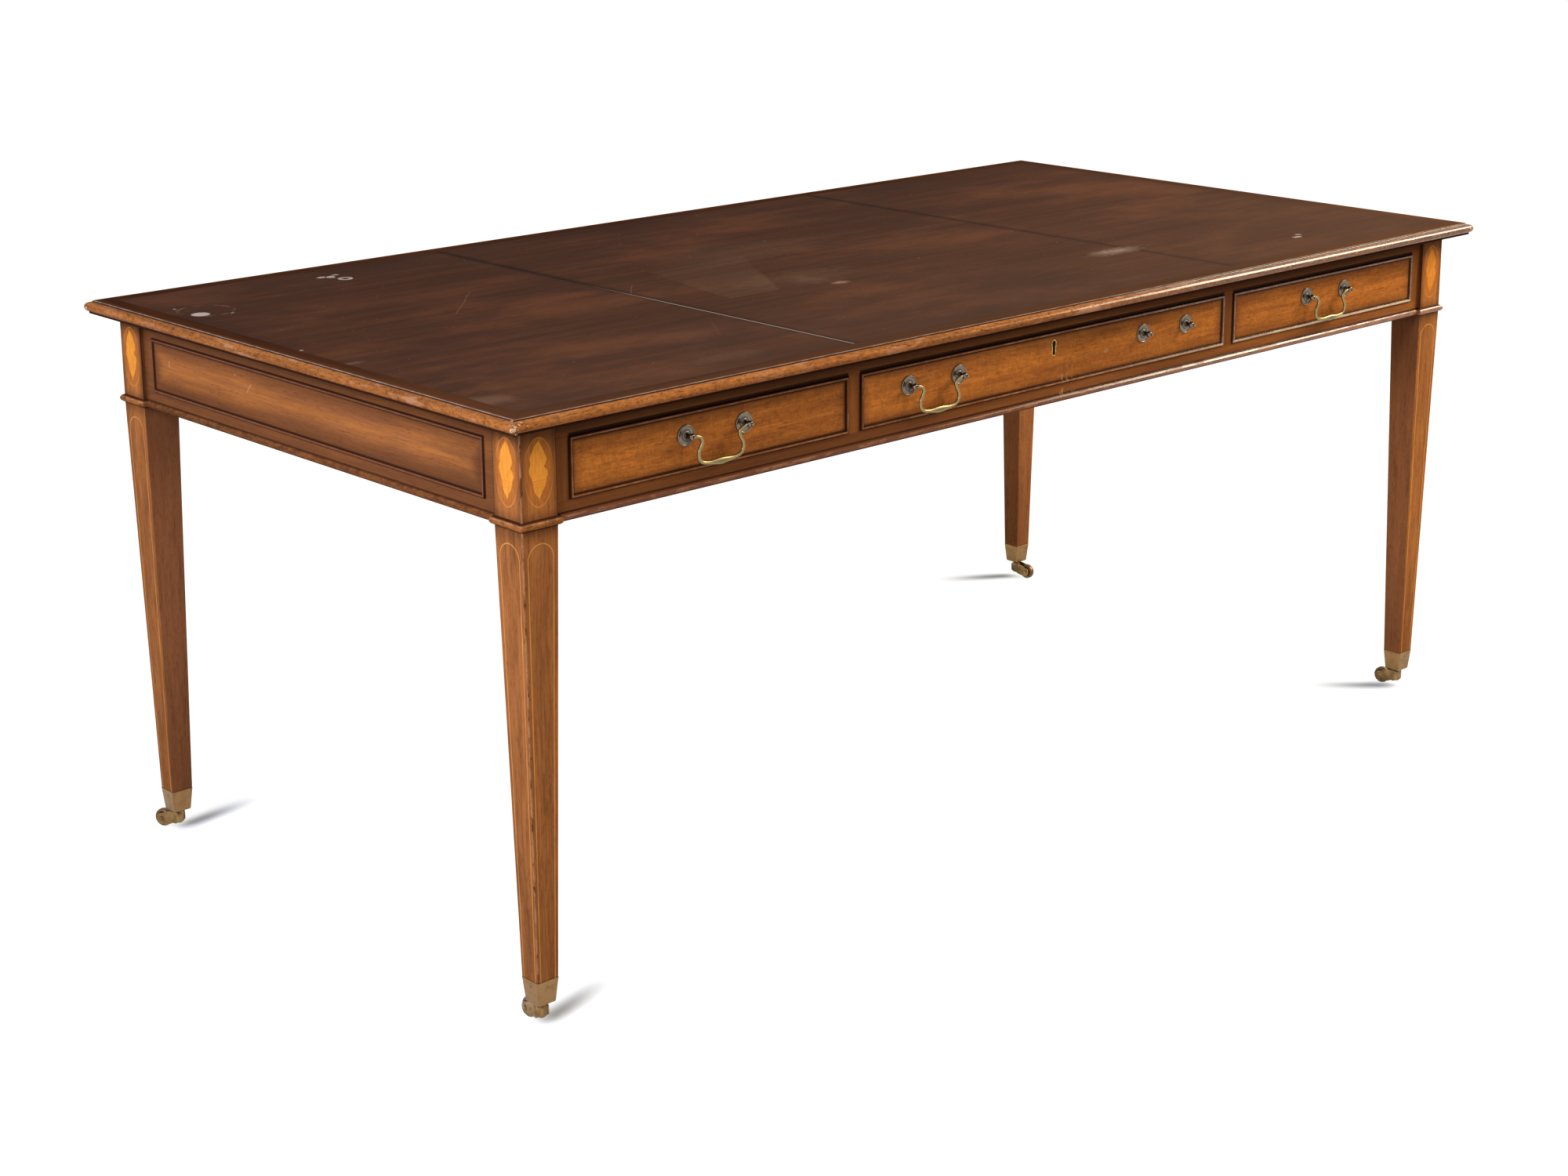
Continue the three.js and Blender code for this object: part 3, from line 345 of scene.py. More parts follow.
class Grain:
    """Mahogany figure: slow tone, streaks, fine fibres and dark pores that run along one axis."""

    def __init__(self, paint, axis, offset=0.0, across=1.0):
        self.x, self.y, self.z = place = paint.place()
        self.along = along = place.pop("XYZ".index(axis))
        drift = (paint.noise((along * 0.16 + offset, *place), 0.07 * across, 2.0) - 0.5) * 0.022
        one, two = (c + drift for c in place)
        self.tone = paint.noise((along * 0.3 + offset, one, two), 0.16 * across, 2.0, 0.55)
        self.streak = paint.noise((along * 0.045 + offset, one, two), 0.012 * across, 4.0, 0.6)
        self.fibre = paint.noise((along * 0.05 - offset, one, two), 0.0026, 2.0, 0.6)
        self.pores = paint.noise((along * 0.13 + offset, one, two), 0.0015).rise(0.6, 0.72)

    def grime(self, paint):
        """Dirt in the mouldings, in lumps that are long in the level directions."""
        return paint.noise((self.x * 0.4, self.y * 0.4, self.z), 0.006, 4.0, 0.7).rise(0.4, 0.62)


def top_paint(woods):
    """The top: dark streaked mahogany with a dark rim and two joints across it, its stains, and painted sheen and
    reflections.
    """
    paint = Paint("top_mahogany")
    across = paint.place()[0]
    seam = 0.0002
    board = across.rise(-TOP_JOINT - seam, -TOP_JOINT + seam) + across.rise(TOP_JOINT - seam, TOP_JOINT + seam)
    grain = Grain(paint, "X", 3.7 + 1.3 * board, 1.5)
    x, y = grain.x, grain.y
    depth = edge_depth(x, y, *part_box("top_board"))
    blotch = paint.noise((x * 0.5, y, 5.0), 0.15, 4.0, 0.62)
    cloud = paint.noise((x * 0.6, y, 8.0), 0.22, 4.0, 0.6)
    near = spot(x, y, -0.78, -0.33, 0.42, 0.22).rise(1.0, 0.2)
    red = paint.noise((x * 0.5, y * 1.5, 4.0), 0.03, 4.0, 0.7).rise(0.42, 0.75)
    joint = (abs(x) - TOP_JOINT).line(0.0016, 0.0009)
    grime = (abs(x) - TOP_JOINT).line(0.001, 0.014) * 0.5
    hairline = (x + 0.3785).line(0.0007, 0.0007) * y.rise(0.12, -0.12)
    scuff = paint.noise((x * 3.0, y * 0.5, 7.0), 0.006, 2.0, 0.7).rise(0.72, 0.8)
    haze_and_sheen, spots = marks_and_reflections(paint, x, y)
    # Painted sheen: the top grows paler towards the front right, as well as duller.
    haze_and_sheen = haze_and_sheen | dull_polish_and_sheen(x, y) * 0.2
    shade = paint.layers(
        woods.top_dark,
        (0.1 + grain.streak.rise(0.2, 0.84) * 0.8, woods.top_brown),
        (blotch.rise(0.46, 0.72) * 0.5, woods.top_red),
        (cloud.rise(0.52, 0.32) * 0.6, woods.top_dark),
        ((depth + (cloud - 0.5) * 0.12).rise(0.045, 0.0) * 0.3, dim(woods.top_dark, 0.6)),
        (near * red * 0.4, woods.top_red),
        (grain.pores * 0.35, woods.top_dark),
        (depth.rise(0.0012, 0.0002) * 0.3 | joint * 0.95 | grime, dim(woods.top_dark, 0.3)),
        (hairline * 0.6, woods.top_mark),
        (haze_and_sheen, woods.top_haze_and_sheen),
        (spots, woods.top_mark),
        (scuff * 0.3, woods.top_haze_and_sheen),
    )
    rough = 0.36 + 0.16 * grain.streak + 0.3 * haze_and_sheen
    height = grain.fibre * 0.25 - grain.pores - joint * 2.0
    return paint.finish(shade, rough, height, 0.00012, polish(), 0.02 + 0.03 * blotch)


def dull_polish_and_sheen(x, y):
    """Paler from the back left to the front right: duller polish, and a painted sheen."""
    return (x * 0.35 - y).rise(-0.4, 0.8)


# Marks on the top, in metres. Each spot and smear has its middle, its two radii and its strength, and each wisp
# the same without the strength; each scratch has its two ends and its strength.
TOP_SPOTS = (
    (-0.612, 0.392, 0.009, 0.006, 0.8), (-0.601, 0.386, 0.007, 0.009, 0.85), (-0.588, 0.395, 0.008, 0.004, 0.7),
    (0.635, -0.364, 0.011, 0.006, 0.6), (0.652, -0.352, 0.006, 0.005, 0.5), (-0.877, 0.337, 0.003, 0.003, 0.6),
    (-0.834, 0.263, 0.003, 0.002, 0.6), (-0.896, 0.001, 0.003, 0.003, 0.6),
)
TOP_SMEARS = (
    (-0.119, -0.080, 0.15, 0.075, 0.22), (-0.128, -0.095, 0.045, 0.055, 0.35), (-0.114, -0.143, 0.022, 0.012, 0.9),
    (0.345, -0.250, 0.085, 0.030, 0.6), (0.330, -0.245, 0.03, 0.02, 0.6), (-0.030, 0.130, 0.24, 0.10, 0.14),
    (-0.540, -0.390, 0.11, 0.045, 0.22), (-0.890, -0.375, 0.055, 0.035, 0.40), (-0.891, -0.104, 0.020, 0.010, 0.35),
    (-0.495, -0.261, 0.10, 0.05, 0.15),
)
TOP_WISPS = (
    (0.345, -0.250, 0.075, 0.022), (0.325, -0.243, 0.03, 0.012), (-0.114, -0.143, 0.02, 0.009),
)
TOP_SCRATCHES = (
    (-0.627, 0.050, -0.522, 0.163, 0.4), (-0.380, -0.011, -0.330, 0.050, 0.35), (-0.890, -0.365, -0.850, -0.405, 0.5),
    (0.10, -0.30, 0.22, -0.27, 0.3), (-0.47, -0.30, -0.42, -0.22, 0.25),
)


def marks_and_reflections(paint, x, y):
    """Two masks: dusty smears, fine scratches and painted reflections in two straight-sided sheets; and pale rings,
    spots, wisps and dust.
    """
    fray = paint.noise((x, y, 2.0), 0.02, 3.0, 0.65)
    fine = paint.noise((x, y, 6.0), 0.006, 3.0, 0.65) - 0.5
    ring = spot(x, y, -0.870, 0.283, 0.0125, 0.0125) + fine * 0.4
    hoop = spot(x, y, -0.592, 0.362, 0.0105, 0.0105) + fine * 0.3
    spots = ring.rise(1.08, 0.82) * 0.75 | hoop.rise(1.1, 0.9) * hoop.rise(0.3, 0.75) * 0.75
    for *mark, strength in TOP_SPOTS:
        spots |= (spot(x, y, *mark) + fine * 1.6).rise(1.0, 0.55) * strength
    halo = spot(x, y, -0.852, 0.300, 0.037, 0.037)
    haze_and_sheen = (halo - 1.0).line(0.03, 0.05) * fray.rise(0.42, 0.58) * 0.45
    for *mark, strength in TOP_SMEARS:
        haze_and_sheen |= (spot(x, y, *mark) + (fray - 0.5) * 0.9).rise(1.1, 0.1) * strength
    # Two straight-sided sheets painted paler: painted reflections.
    reflection_sides = (x + 0.258 - (y - 0.107) * 0.198) & (-0.074 + (y - 0.104) * 0.584 - x)
    for reflection_back, strength in ((0.106, 0.1), (0.017, 0.07)):
        painted_reflection = reflection_sides & (reflection_back - y) & (y + 0.126)
        haze_and_sheen += (painted_reflection + (fray - 0.5) * 0.016).rise(-0.002, 0.007) * strength
    for x0, y0, x1, y1, strength in TOP_SCRATCHES:
        reach = math.hypot(x1 - x0, y1 - y0)
        along, aside = along_and_aside(x, y, (x0, y0), math.atan2(y1 - y0, x1 - x0))
        bend = (paint.noise((along,), 0.05) - 0.5) * 0.006
        ends = along.rise(0.0, 0.01) * along.rise(reach, reach - 0.01)
        haze_and_sheen |= (aside + bend).line(0.0004, 0.0006) * ends * strength
    for mark in TOP_WISPS:
        wisp = (spot(x, y, *mark) + (fray - 0.5) * 2.2 + fine * 1.6).rise(1.0, 0.0)
        spots |= wisp * (0.1 + 0.3 * fray.rise(0.45, 0.65))
    return haze_and_sheen, spots | paint.noise((x, y, 9.0), 0.0042).rise(0.77, 0.83) * 0.35


def moulding_paint(woods, axis, marks):
    """The edge moulding. u of the UV map runs along the band and v down the section, where the marks lie."""
    arris, quirk, foot, lip = marks
    paint = Paint("edge_mahogany_" + axis.lower())
    grain = Grain(paint, axis, 1.3)
    u, v = paint.uv()
    right = grain.x.rise(-0.15, 0.4)
    pit = paint.noise((u * 0.45, v, 3.0), 0.0018, 3.0, 0.7).rise(0.5, 0.66)
    mottle = paint.noise((u * 0.4, v, 9.0), 0.0045, 4.0, 0.72)
    patch = paint.noise((u * 0.16, v * 0.6, 5.0), 0.009, 2.0, 0.55)
    worn = paint.noise((u * 0.3, 6.0), 0.008, 2.0, 0.6).rise(0.4, 0.6)
    chip = paint.noise((grain.x, grain.y, grain.z), 0.0045, 3.0, 0.7) + corner_share(grain.x, grain.y) * 0.2
    chip = chip.rise(0.72, 0.77)
    fillet = paint.layers(
        woods.top_dark,
        (grain.streak.rise(0.2, 0.84), woods.top_brown),
        (grain.tone.rise(0.45, 0.8) * 0.3, woods.top_red),
        # Painted sheen on the fillet, paler towards the front right.
        (dull_polish_and_sheen(grain.x, grain.y) * 0.24, woods.top_haze_and_sheen),
        (v.rise(arris - 0.008, arris - 0.005) * 0.3, woods.top_red),
    )
    nose = paint.layers(
        dim(woods.edge_orange, 0.62),
        (grain.streak.rise(0.32, 0.68), woods.edge_orange),
        # Painted dark reflection: the nose is darker above its foot on the right half.
        (right * v.rise(foot - 0.002, foot - 0.006) * 0.55, woods.edge_dirt_and_shade),
        (pit * 0.55, woods.edge_dirt_and_shade),
        (mottle.rise(0.5, 0.68) * 0.6, woods.edge_dirt_and_shade),
        (mottle.rise(0.48, 0.34) * 0.45, woods.case_honey),
        # Pale rubbed patches, strongest mid-band: wear, and a painted sheen.
        (patch.rise(0.56, 0.68) * (0.1 + 0.5 * abs(grain.along + 0.1).rise(0.6, 0.15)), woods.edge_wear_and_highlight),
    )
    under = paint.layers(dim(woods.edge_orange, 0.75), (patch.rise(0.4, 0.65) * 0.6, woods.edge_wear_and_highlight))
    arris_line = (v - arris + 0.0002).line(0.0006, 0.0004) * (0.4 + 0.35 * worn)
    shade = paint.layers(
        fillet,
        (v.rise(quirk, quirk + 0.0004), nose),
        (v.rise(foot - 0.002, foot - 0.0008) * 0.8, under),
        # Painted shade: the underside beyond the lip is dark.
        (v.rise(lip, lip + 0.0003), woods.edge_dirt_and_shade),
        ((v - quirk).line(0.0007, 0.0006) * 0.85, woods.edge_dirt_and_shade),
        (arris_line, dim(woods.top_mark, 0.76, 0.7, 0.58)),
        (chip * v.rise(arris - 0.001, arris), woods.bare_wood_and_highlight),
    )
    rough = 0.3 + 0.2 * pit + 0.1 * grain.streak
    height = grain.fibre * 0.1 - pit - grain.pores * 0.2 - chip
    on_nose = v.rise(arris + 0.0004, arris + 0.0014) * v.rise(lip - 0.0005, foot - 0.001)
    gloss = on_nose * (0.1 + 0.52 * right) * (1.0 - pit * (0.85 - 0.6 * right))
    return paint.finish(shade, rough, height, 0.0001, polish(0.1, 1.6), gloss)


def corner_share(x, y):
    """1 at the four corners of the top and 0 beyond a few centimetres from them."""
    far_x, far_y = (abs(c) - (end + TOP_OVERHANG) for c, end in zip((x, y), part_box("top_board")[1]))
    return distance(far_x, far_y).rise(0.034, 0.0)


def leg_paint(woods, shapes):
    """Posts and legs. u of the UV map runs across a face, v is the height, and outer is 1 on the outer faces."""
    paint = Paint("leg_mahogany")
    grain = Grain(paint, "Z", 2.1)
    x, y = grain.x, grain.y
    u, v = paint.uv()
    outer = paint.attribute("outer")
    figure = grain.streak.rise(0.2, 0.8) * 0.6 + grain.fibre.rise(0.3, 0.7) * 0.4
    stain = paint.noise((u, v * 0.28, x * 2.0 + y), 0.018, 4.0, 0.68)
    on_bead = v.rise(BEAD_BASE - 0.001, BEAD_BASE) * v.rise(BEAD_TOP + 0.001, BEAD_TOP)
    groove = (v - BEAD_TOP).line(0.0007, 0.001) | (v - BEAD_BASE).line(0.0007, 0.001)
    outside = paint.layers(
        woods.leg_dark,
        (figure, woods.leg_brown),
        (grain.tone.rise(0.5, 0.8) * 0.3, woods.case_honey),
        (v.rise(BEAD_BASE, BEAD_TOP) * 0.35, dim(woods.case_honey, 0.9)),
    )
    shade = paint.layers(
        # Inner faces: a copy of the leg colour set to the light they get, with painted shade of the top towards their
        # upper end.
        dim(woods.leg_inside_shade_copy, 0.7),
        (figure, woods.leg_inside_shade_copy),
        (v.rise(0.42, 0.6) * 0.45, woods.case_dark),
        (outer, outside),
        (grain.pores * 0.36, dim(woods.leg_dark, 0.5)),
        (stain.rise(0.5, 0.7) * 0.42, dim(woods.leg_dark, 0.55)),
        # Painted shade: darker towards the floor.
        (v.rise(0.26, 0.07) * 0.3, dim(woods.leg_dark, 0.5)),
        # Painted shadow of the top over the head of the post.
        (v.rise(BEAD_TOP + 0.075, BEAD_TOP + 0.110) * 0.78, woods.case_dark),
        (on_bead * 0.4, woods.edge_orange),
        # Painted highlight: a light line near the top of the bead.
        ((v - BEAD_TOP + 0.0022).line(0.0003, 0.0007) * 0.5, woods.edge_wear_and_highlight),
        # Painted shadow under the bead.
        (v.rise(BEAD_BASE - 0.02, BEAD_BASE) * v.rise(BEAD_BASE + 0.0005, BEAD_BASE) * 0.5, woods.case_dark),
        (v.rise(BEAD_TOP + 0.014, BEAD_TOP) * v.rise(BEAD_TOP - 0.0005, BEAD_TOP) * 0.45, woods.case_dark),
        (groove * 0.85, dim(woods.edge_dirt_and_shade, 0.6)),
    )
    shade, inlay = stringing(paint, shade, outer, u, v, woods, shapes)
    shade = patera(paint, shade, outer, u, v, grain, woods, shapes)
    half = (ANKLE_HALF + (v - CUP_TOP) * ((POST_HALF - ANKLE_HALF) / (BEAD_BASE - CUP_TOP))) & POST_HALF
    from_arris = half - abs(u)
    at_arris = (LEG_CENTRE[0] + half) - abs(x) | (LEG_CENTRE[1] + half) - abs(y)
    above = v.rise(BEAD_TOP, BEAD_TOP + 0.002)
    edge = at_arris.rise(0.0022, 0.001) * (1.0 - on_bead)
    worn = paint.noise((0.0, v * 0.35, x + y * 3.0), 0.012, 3.0, 0.65)
    dent = paint.noise((u, v * 0.5, x + y), 0.0045, 2.0, 0.6).rise(0.62, 0.7)
    bruise = paint.noise((u, v * 0.5, y * 2.0 - x), 0.003, 2.0, 0.6).rise(0.7, 0.76)
    shade = paint.layers(
        shade,
        (above * from_arris.rise(0.013, 0.001) * 0.5, woods.case_dark),
        (edge * (0.16 + worn.rise(0.42, 0.6) * 0.42), woods.edge_wear_and_highlight),
        (above * from_arris.rise(0.002, 0.001) * (1.0 - edge) * 0.7, dim(woods.edge_dirt_and_shade, 0.5)),
        (edge * worn.rise(0.45, 0.38) * 0.65, woods.edge_dirt_and_shade),
        (dent * at_arris.rise(0.005, 0.002) * 0.8, woods.edge_dirt_and_shade),
        (bruise * 0.65, woods.edge_dirt_and_shade),
        (on_bead * grain.grime(paint) * 0.6, woods.edge_dirt_and_shade),
    )
    rough = 0.36 + 0.14 * grain.streak + 0.1 * worn
    height = grain.fibre * 0.3 - grain.pores - dent * 1.5 - inlay * 0.4
    gloss = 0.05 - 0.03 * worn | on_bead * (0.04 + 0.6 * x.rise(0.0, 0.6))
    return paint.finish(shade, rough, height, 0.00015, polish(0.14, 1.6), gloss)


def stringing(paint, shade, outer, u, v, woods, shapes):
    """Light line parallel to the arrises, closed by an arch: the distance from it is a share of its width."""
    arch_rise = 18.5 * MM
    arch = ARCH_TOP - arch_rise
    foot, head = ANKLE_HALF - 4.6 * MM, POST_HALF - 7.8 * MM
    side = (foot + (v - CUP_TOP) * ((head - foot) / (arch - CUP_TOP))) & head
    share = distance(u / side, (v - arch | 0.0) * (1.0 / arch_rise))
    inlay = ((share - 1.0) * side).line(shapes.stringing_width / 2, 0.0003) * outer
    inlay *= v.rise(ARCH_TOP + 0.004, ARCH_TOP + 0.002)
    tired = paint.noise((u, v * 0.3, 4.0), 0.02, 2.0, 0.6).rise(0.35, 0.6)
    return paint.layers(shade, (inlay * (0.66 + 0.3 * tired), woods.stringing)), inlay


# The shell in the oval, as shares of the oval's half sizes: a height, and how far the shell goes left and right.
SHELL_OUTLINE = (
    (-0.84, 0.0, 0.0), (-0.70, 0.14, 0.11), (-0.56, 0.33, 0.27), (-0.44, 0.42, 0.44), (-0.30, 0.45, 0.56),
    (-0.20, 0.50, 0.58), (-0.10, 0.58, 0.68), (0.0, 0.66, 0.64), (0.07, 0.69, 0.55), (0.14, 0.68, 0.40),
    (0.22, 0.64, 0.50), (0.31, 0.58, 0.58), (0.38, 0.63, 0.58), (0.46, 0.59, 0.52), (0.56, 0.53, 0.45),
    (0.70, 0.38, 0.30), (0.82, 0.22, 0.18), (0.91, 0.0, 0.0),
)


def patera(paint, shade, outer, u, v, grain, woods, shapes):
    """Oval inlay: a thin border, a ground, and a shell. A ramp holds the shell's outline by height: the smooth left
    side in its red, the scalloped right side in its green."""
    across = u * (1.0 / shapes.inlay_half_width)
    up = (v - shapes.inlay_height) * (1.0 / shapes.inlay_half_height)
    share = distance(across, up)
    inside = share.rise(1.0, 0.96) * outer
    figure = paint.noise((u, v * 0.25, grain.x + grain.y), 0.004, 3.0, 0.6)
    ground = paint.layers(dim(woods.inlay_ground, 0.66), (figure.rise(0.3, 0.7), woods.inlay_ground))
    stops = [((height + 1.0) / 2, (left, right, 0.0)) for height, left, right in SHELL_OUTLINE]
    left, right, _ = paint.parts(paint.node("ShaderNodeValToRGB", {"stops": stops}, {"Fac": (up + 1.0) * 0.5}))
    ragged = (paint.noise((u, v, grain.x + grain.y), 0.004, 2.0, 0.6) - 0.5) * 0.16
    rim = (left + across & right - across) + ragged
    flutes = paint.math("SINE", paint.math("ARCTAN2", across, up + 1.35) * 44.0)
    hoops = (up + 0.25).line(0.012, 0.03) | (up + 0.34).line(0.01, 0.03) | (up + 0.43).line(0.01, 0.03)
    satin = paint.layers(
        dim(woods.satinwood, 0.82),
        (figure.rise(0.28, 0.66), woods.satinwood),
        (flutes.rise(0.6, 1.0) * 0.14, woods.inlay_ground),
        (hoops * figure.rise(0.35, 0.6) * 0.4, woods.inlay_ground),
    )
    # The shell is fainter on the legs towards the right.
    fainter_right = grain.x.rise(0.0, 0.8) * 0.35
    plume = abs(across).rise(0.34, 0.1) * up.rise(0.3, 0.8) * inside
    border = ((share - 1.0) * shapes.inlay_half_width).line(0.0003, 0.0003) * outer
    return paint.layers(
        shade,
        (inside * 0.62, ground),
        (rim.rise(-0.03, 0.07) * inside * (0.92 - fainter_right), satin),
        (plume * figure.rise(0.4, 0.6) * 0.35, woods.satinwood),
        (rim.line(0.012, 0.04) * inside * 0.3, woods.leg_dark),
        (border * 0.6, woods.stringing),
    )


def case_colours(paint, grain, woods, brown, honey, cloudy=0.45):
    """Veneer from brown to honey, by streaks, tone and short dark flecks."""
    return paint.layers(
        brown,
        (grain.streak.rise(0.22, 0.82), honey),
        (grain.fibre.rise(0.62, 0.4) * 0.18, woods.case_dark),
        (grain.tone.rise(0.62, 0.3) * cloudy, woods.case_dark),
        (grain.pores * 0.28, woods.case_dark),
    )


def bead_colours(paint, shade, inside, grain, woods, rubbed=0.8):
    """Cock bead along the edge of a panel: painted shade at its roots, a reddish crest, and rubbed light places,
    that grow paler to the right as a painted highlight.
    """
    root_shade = (inside - 0.0045).line(0.0007, 0.0008) | (inside + 0.0001).line(0.0005, 0.0008)
    crest = (inside - 0.0021).line(0.0005, 0.0008)
    rub = paint.noise((grain.x * 0.5, grain.y * 0.5, grain.z * 0.5), 0.009, 4.0, 0.7).rise(0.42, 0.62)
    # The rubbed crest grows paler to the right: a painted highlight.
    right = grain.x.rise(-0.6, 0.5) * 0.5 + 0.5
    shade = paint.layers(
        shade,
        (inside.rise(-0.0003, 0.0) * inside.rise(0.0046, 0.0042), woods.bead_red),
        (root_shade * 0.85, dim(woods.case_dark, 0.5)),
        (crest * (0.45 * rubbed), woods.edge_orange),
        (crest * (0.15 + 0.85 * rub) * rubbed * right, woods.edge_wear_and_highlight),
    )
    return shade, crest


def apron_paint(woods, node, axis):
    """Blind panel: honey in the middle, shaded towards its bead, and darker round it."""
    paint = Paint(node + "_veneer")
    grain = Grain(paint, axis, 0.7)
    y, z = grain.y, grain.z
    start, end = (corner["XYZ".index(axis)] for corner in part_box(node))
    inside = edge_depth(grain.along, z, (start + PANEL_INSET, PANEL_FOOT), (end - PANEL_INSET, PANEL_HEAD))
    cloud = (grain.tone - 0.5) * 0.03
    shaded = (inside + cloud).rise(0.034, 0.002) * (0.72 - 0.17 * inside.rise(0.001, -0.001))
    shade = case_colours(paint, grain, woods, dim(woods.case_brown, 1.2), dim(woods.case_honey, 0.92), 0.3)
    shade = paint.layers(shade, (shaded, woods.case_dark))
    shade, crest = bead_colours(paint, shade, inside, grain, woods, 0.25)
    below = z.rise(CASE_BEAD + 0.001, CASE_BEAD - 0.001)
    grime = grain.grime(paint)
    marks = 0.0
    if node == "apron_left":
        slash = (y - 0.131 + (z - 0.6915) * 0.9).line(0.0005, 0.0007) * (z - 0.6915).line(0.006, 0.001)
        nick = (y - 0.3285).line(0.0006, 0.0007) * (z - 0.691).line(0.004, 0.001)
        marks = slash | nick | spot(y, z, 0.1633, 0.7044, 0.0016, 0.0016).rise(1.0, 0.6)
    shade = paint.layers(
        shade,
        (below * (0.3 - 0.22 * grime), woods.edge_orange),
        (below * grime * 0.45, woods.edge_dirt_and_shade),
        ((z - CASE_BEAD).line(0.0006, 0.0008) * 0.8, woods.edge_dirt_and_shade),
        # Painted shadow of the top over the head of the apron.
        (z.rise(0.724, 0.742) * 0.55, woods.case_dark),
        (inside.rise(-0.012, -0.021) * 0.3, woods.case_dark),
        (marks * 0.8, woods.edge_wear_and_highlight),
    )
    height = grain.fibre * 0.3 - grain.pores - marks
    gloss = 0.05 + 0.02 * grain.tone | crest * 0.15
    return paint.finish(shade, 0.36 + 0.12 * grain.streak, height, 0.00015, polish(), gloss)


def drawer_front_paint(woods, drawer):
    """Drawer front: honey veneer with wavy figure, dark towards its cock bead; oak where it faces inwards."""
    node = f"drawer_{drawer}_front"
    paint = Paint(node + "_veneer")
    grain = Grain(paint, "X", DRAWER_GRAIN[drawer])
    x, y, z = grain.x, grain.y, grain.z
    low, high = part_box(node)
    inside = edge_depth(x, z, low.xz, high.xz)
    cloud = (grain.tone - 0.5) * 0.03
    wave = paint.noise((x * 0.9, y, z * 2.2), 0.03, 2.0, 0.5, 0.6)
    ripple = paint.noise((x * 0.6, y, z * 1.2), 0.0045, 3.0, 0.6, 0.8)
    fiddle = paint.noise((x * 1.5, y, z * 0.3), 0.0035, 2.0, 0.5, 0.4)
    fleck = paint.noise((x * 0.3, y, z), 0.0026, 2.0, 0.6).rise(0.58, 0.7)
    shade = paint.layers(
        case_colours(paint, grain, woods, woods.drawer_brown, woods.drawer_honey, 0.25),
        (wave.rise(0.5, 0.66) * 0.3, woods.drawer_honey),
        (ripple.rise(0.56, 0.36) * 0.2, woods.case_dark),
        (fiddle.rise(0.56, 0.36) * 0.14, woods.case_dark),
        (fleck * 0.25, woods.case_dark),
        ((inside + cloud).rise(0.028, 0.004) * 0.45, woods.case_dark),
        ((inside + cloud * 0.15).rise(0.0095, 0.0045) * 0.6, dim(woods.case_dark, 0.6)),
    )
    shade, crest = bead_colours(paint, shade, inside, grain, woods)
    # Painted highlight: a pale line along the bottom bead on the right half.
    foot = (z - low.z - 0.0022).line(0.0012, 0.0006) * x.rise(0.0, 0.6) * inside.rise(0.0, 0.0006)
    shade = paint.layers(shade, (foot * (0.5 + 0.4 * wave.rise(0.4, 0.6)), woods.bare_wood_and_highlight))
    if drawer == "middle":
        drip = (paint.noise((z,), 0.02) - 0.5) * 0.006
        stain = (x - 0.0165 - drip).line(0.0010, 0.002) | (x - 0.027 + drip).line(0.0006, 0.0012)
        stain |= (x - 0.0375 + drip).line(0.0009, 0.0016)
        stain *= paint.noise((x * 0.4, z), 0.006, 2.0, 0.6).rise(0.4, 0.6) * z.rise(0.682, 0.655)
        chip = (spot(x, z, 0.1075, 0.6784, 0.006, 0.003) + (wave - 0.5)).rise(1.0, 0.7)
        shade = paint.layers(shade, (stain * 0.5 | chip * 0.45, woods.edge_wear_and_highlight))
    hidden = y.rise(low.y + 0.006, low.y + 0.0065)
    shade = paint.layers(shade, (hidden, oak_colours(paint, grain, woods)))
    rough = 0.34 + 0.12 * grain.streak + 0.25 * hidden
    height = (grain.fibre * 0.3 - grain.pores - fleck * 0.3) * (1.0 - 0.8 * crest)
    gloss = 0.03 + 0.01 * grain.tone | inside.rise(0.0046, 0.0042) * (0.05 + 0.45 * x.rise(-0.1, 0.5))
    return paint.finish(shade, rough, height, 0.00015, polish(0.12, 1.6), gloss * (1.0 - hidden))


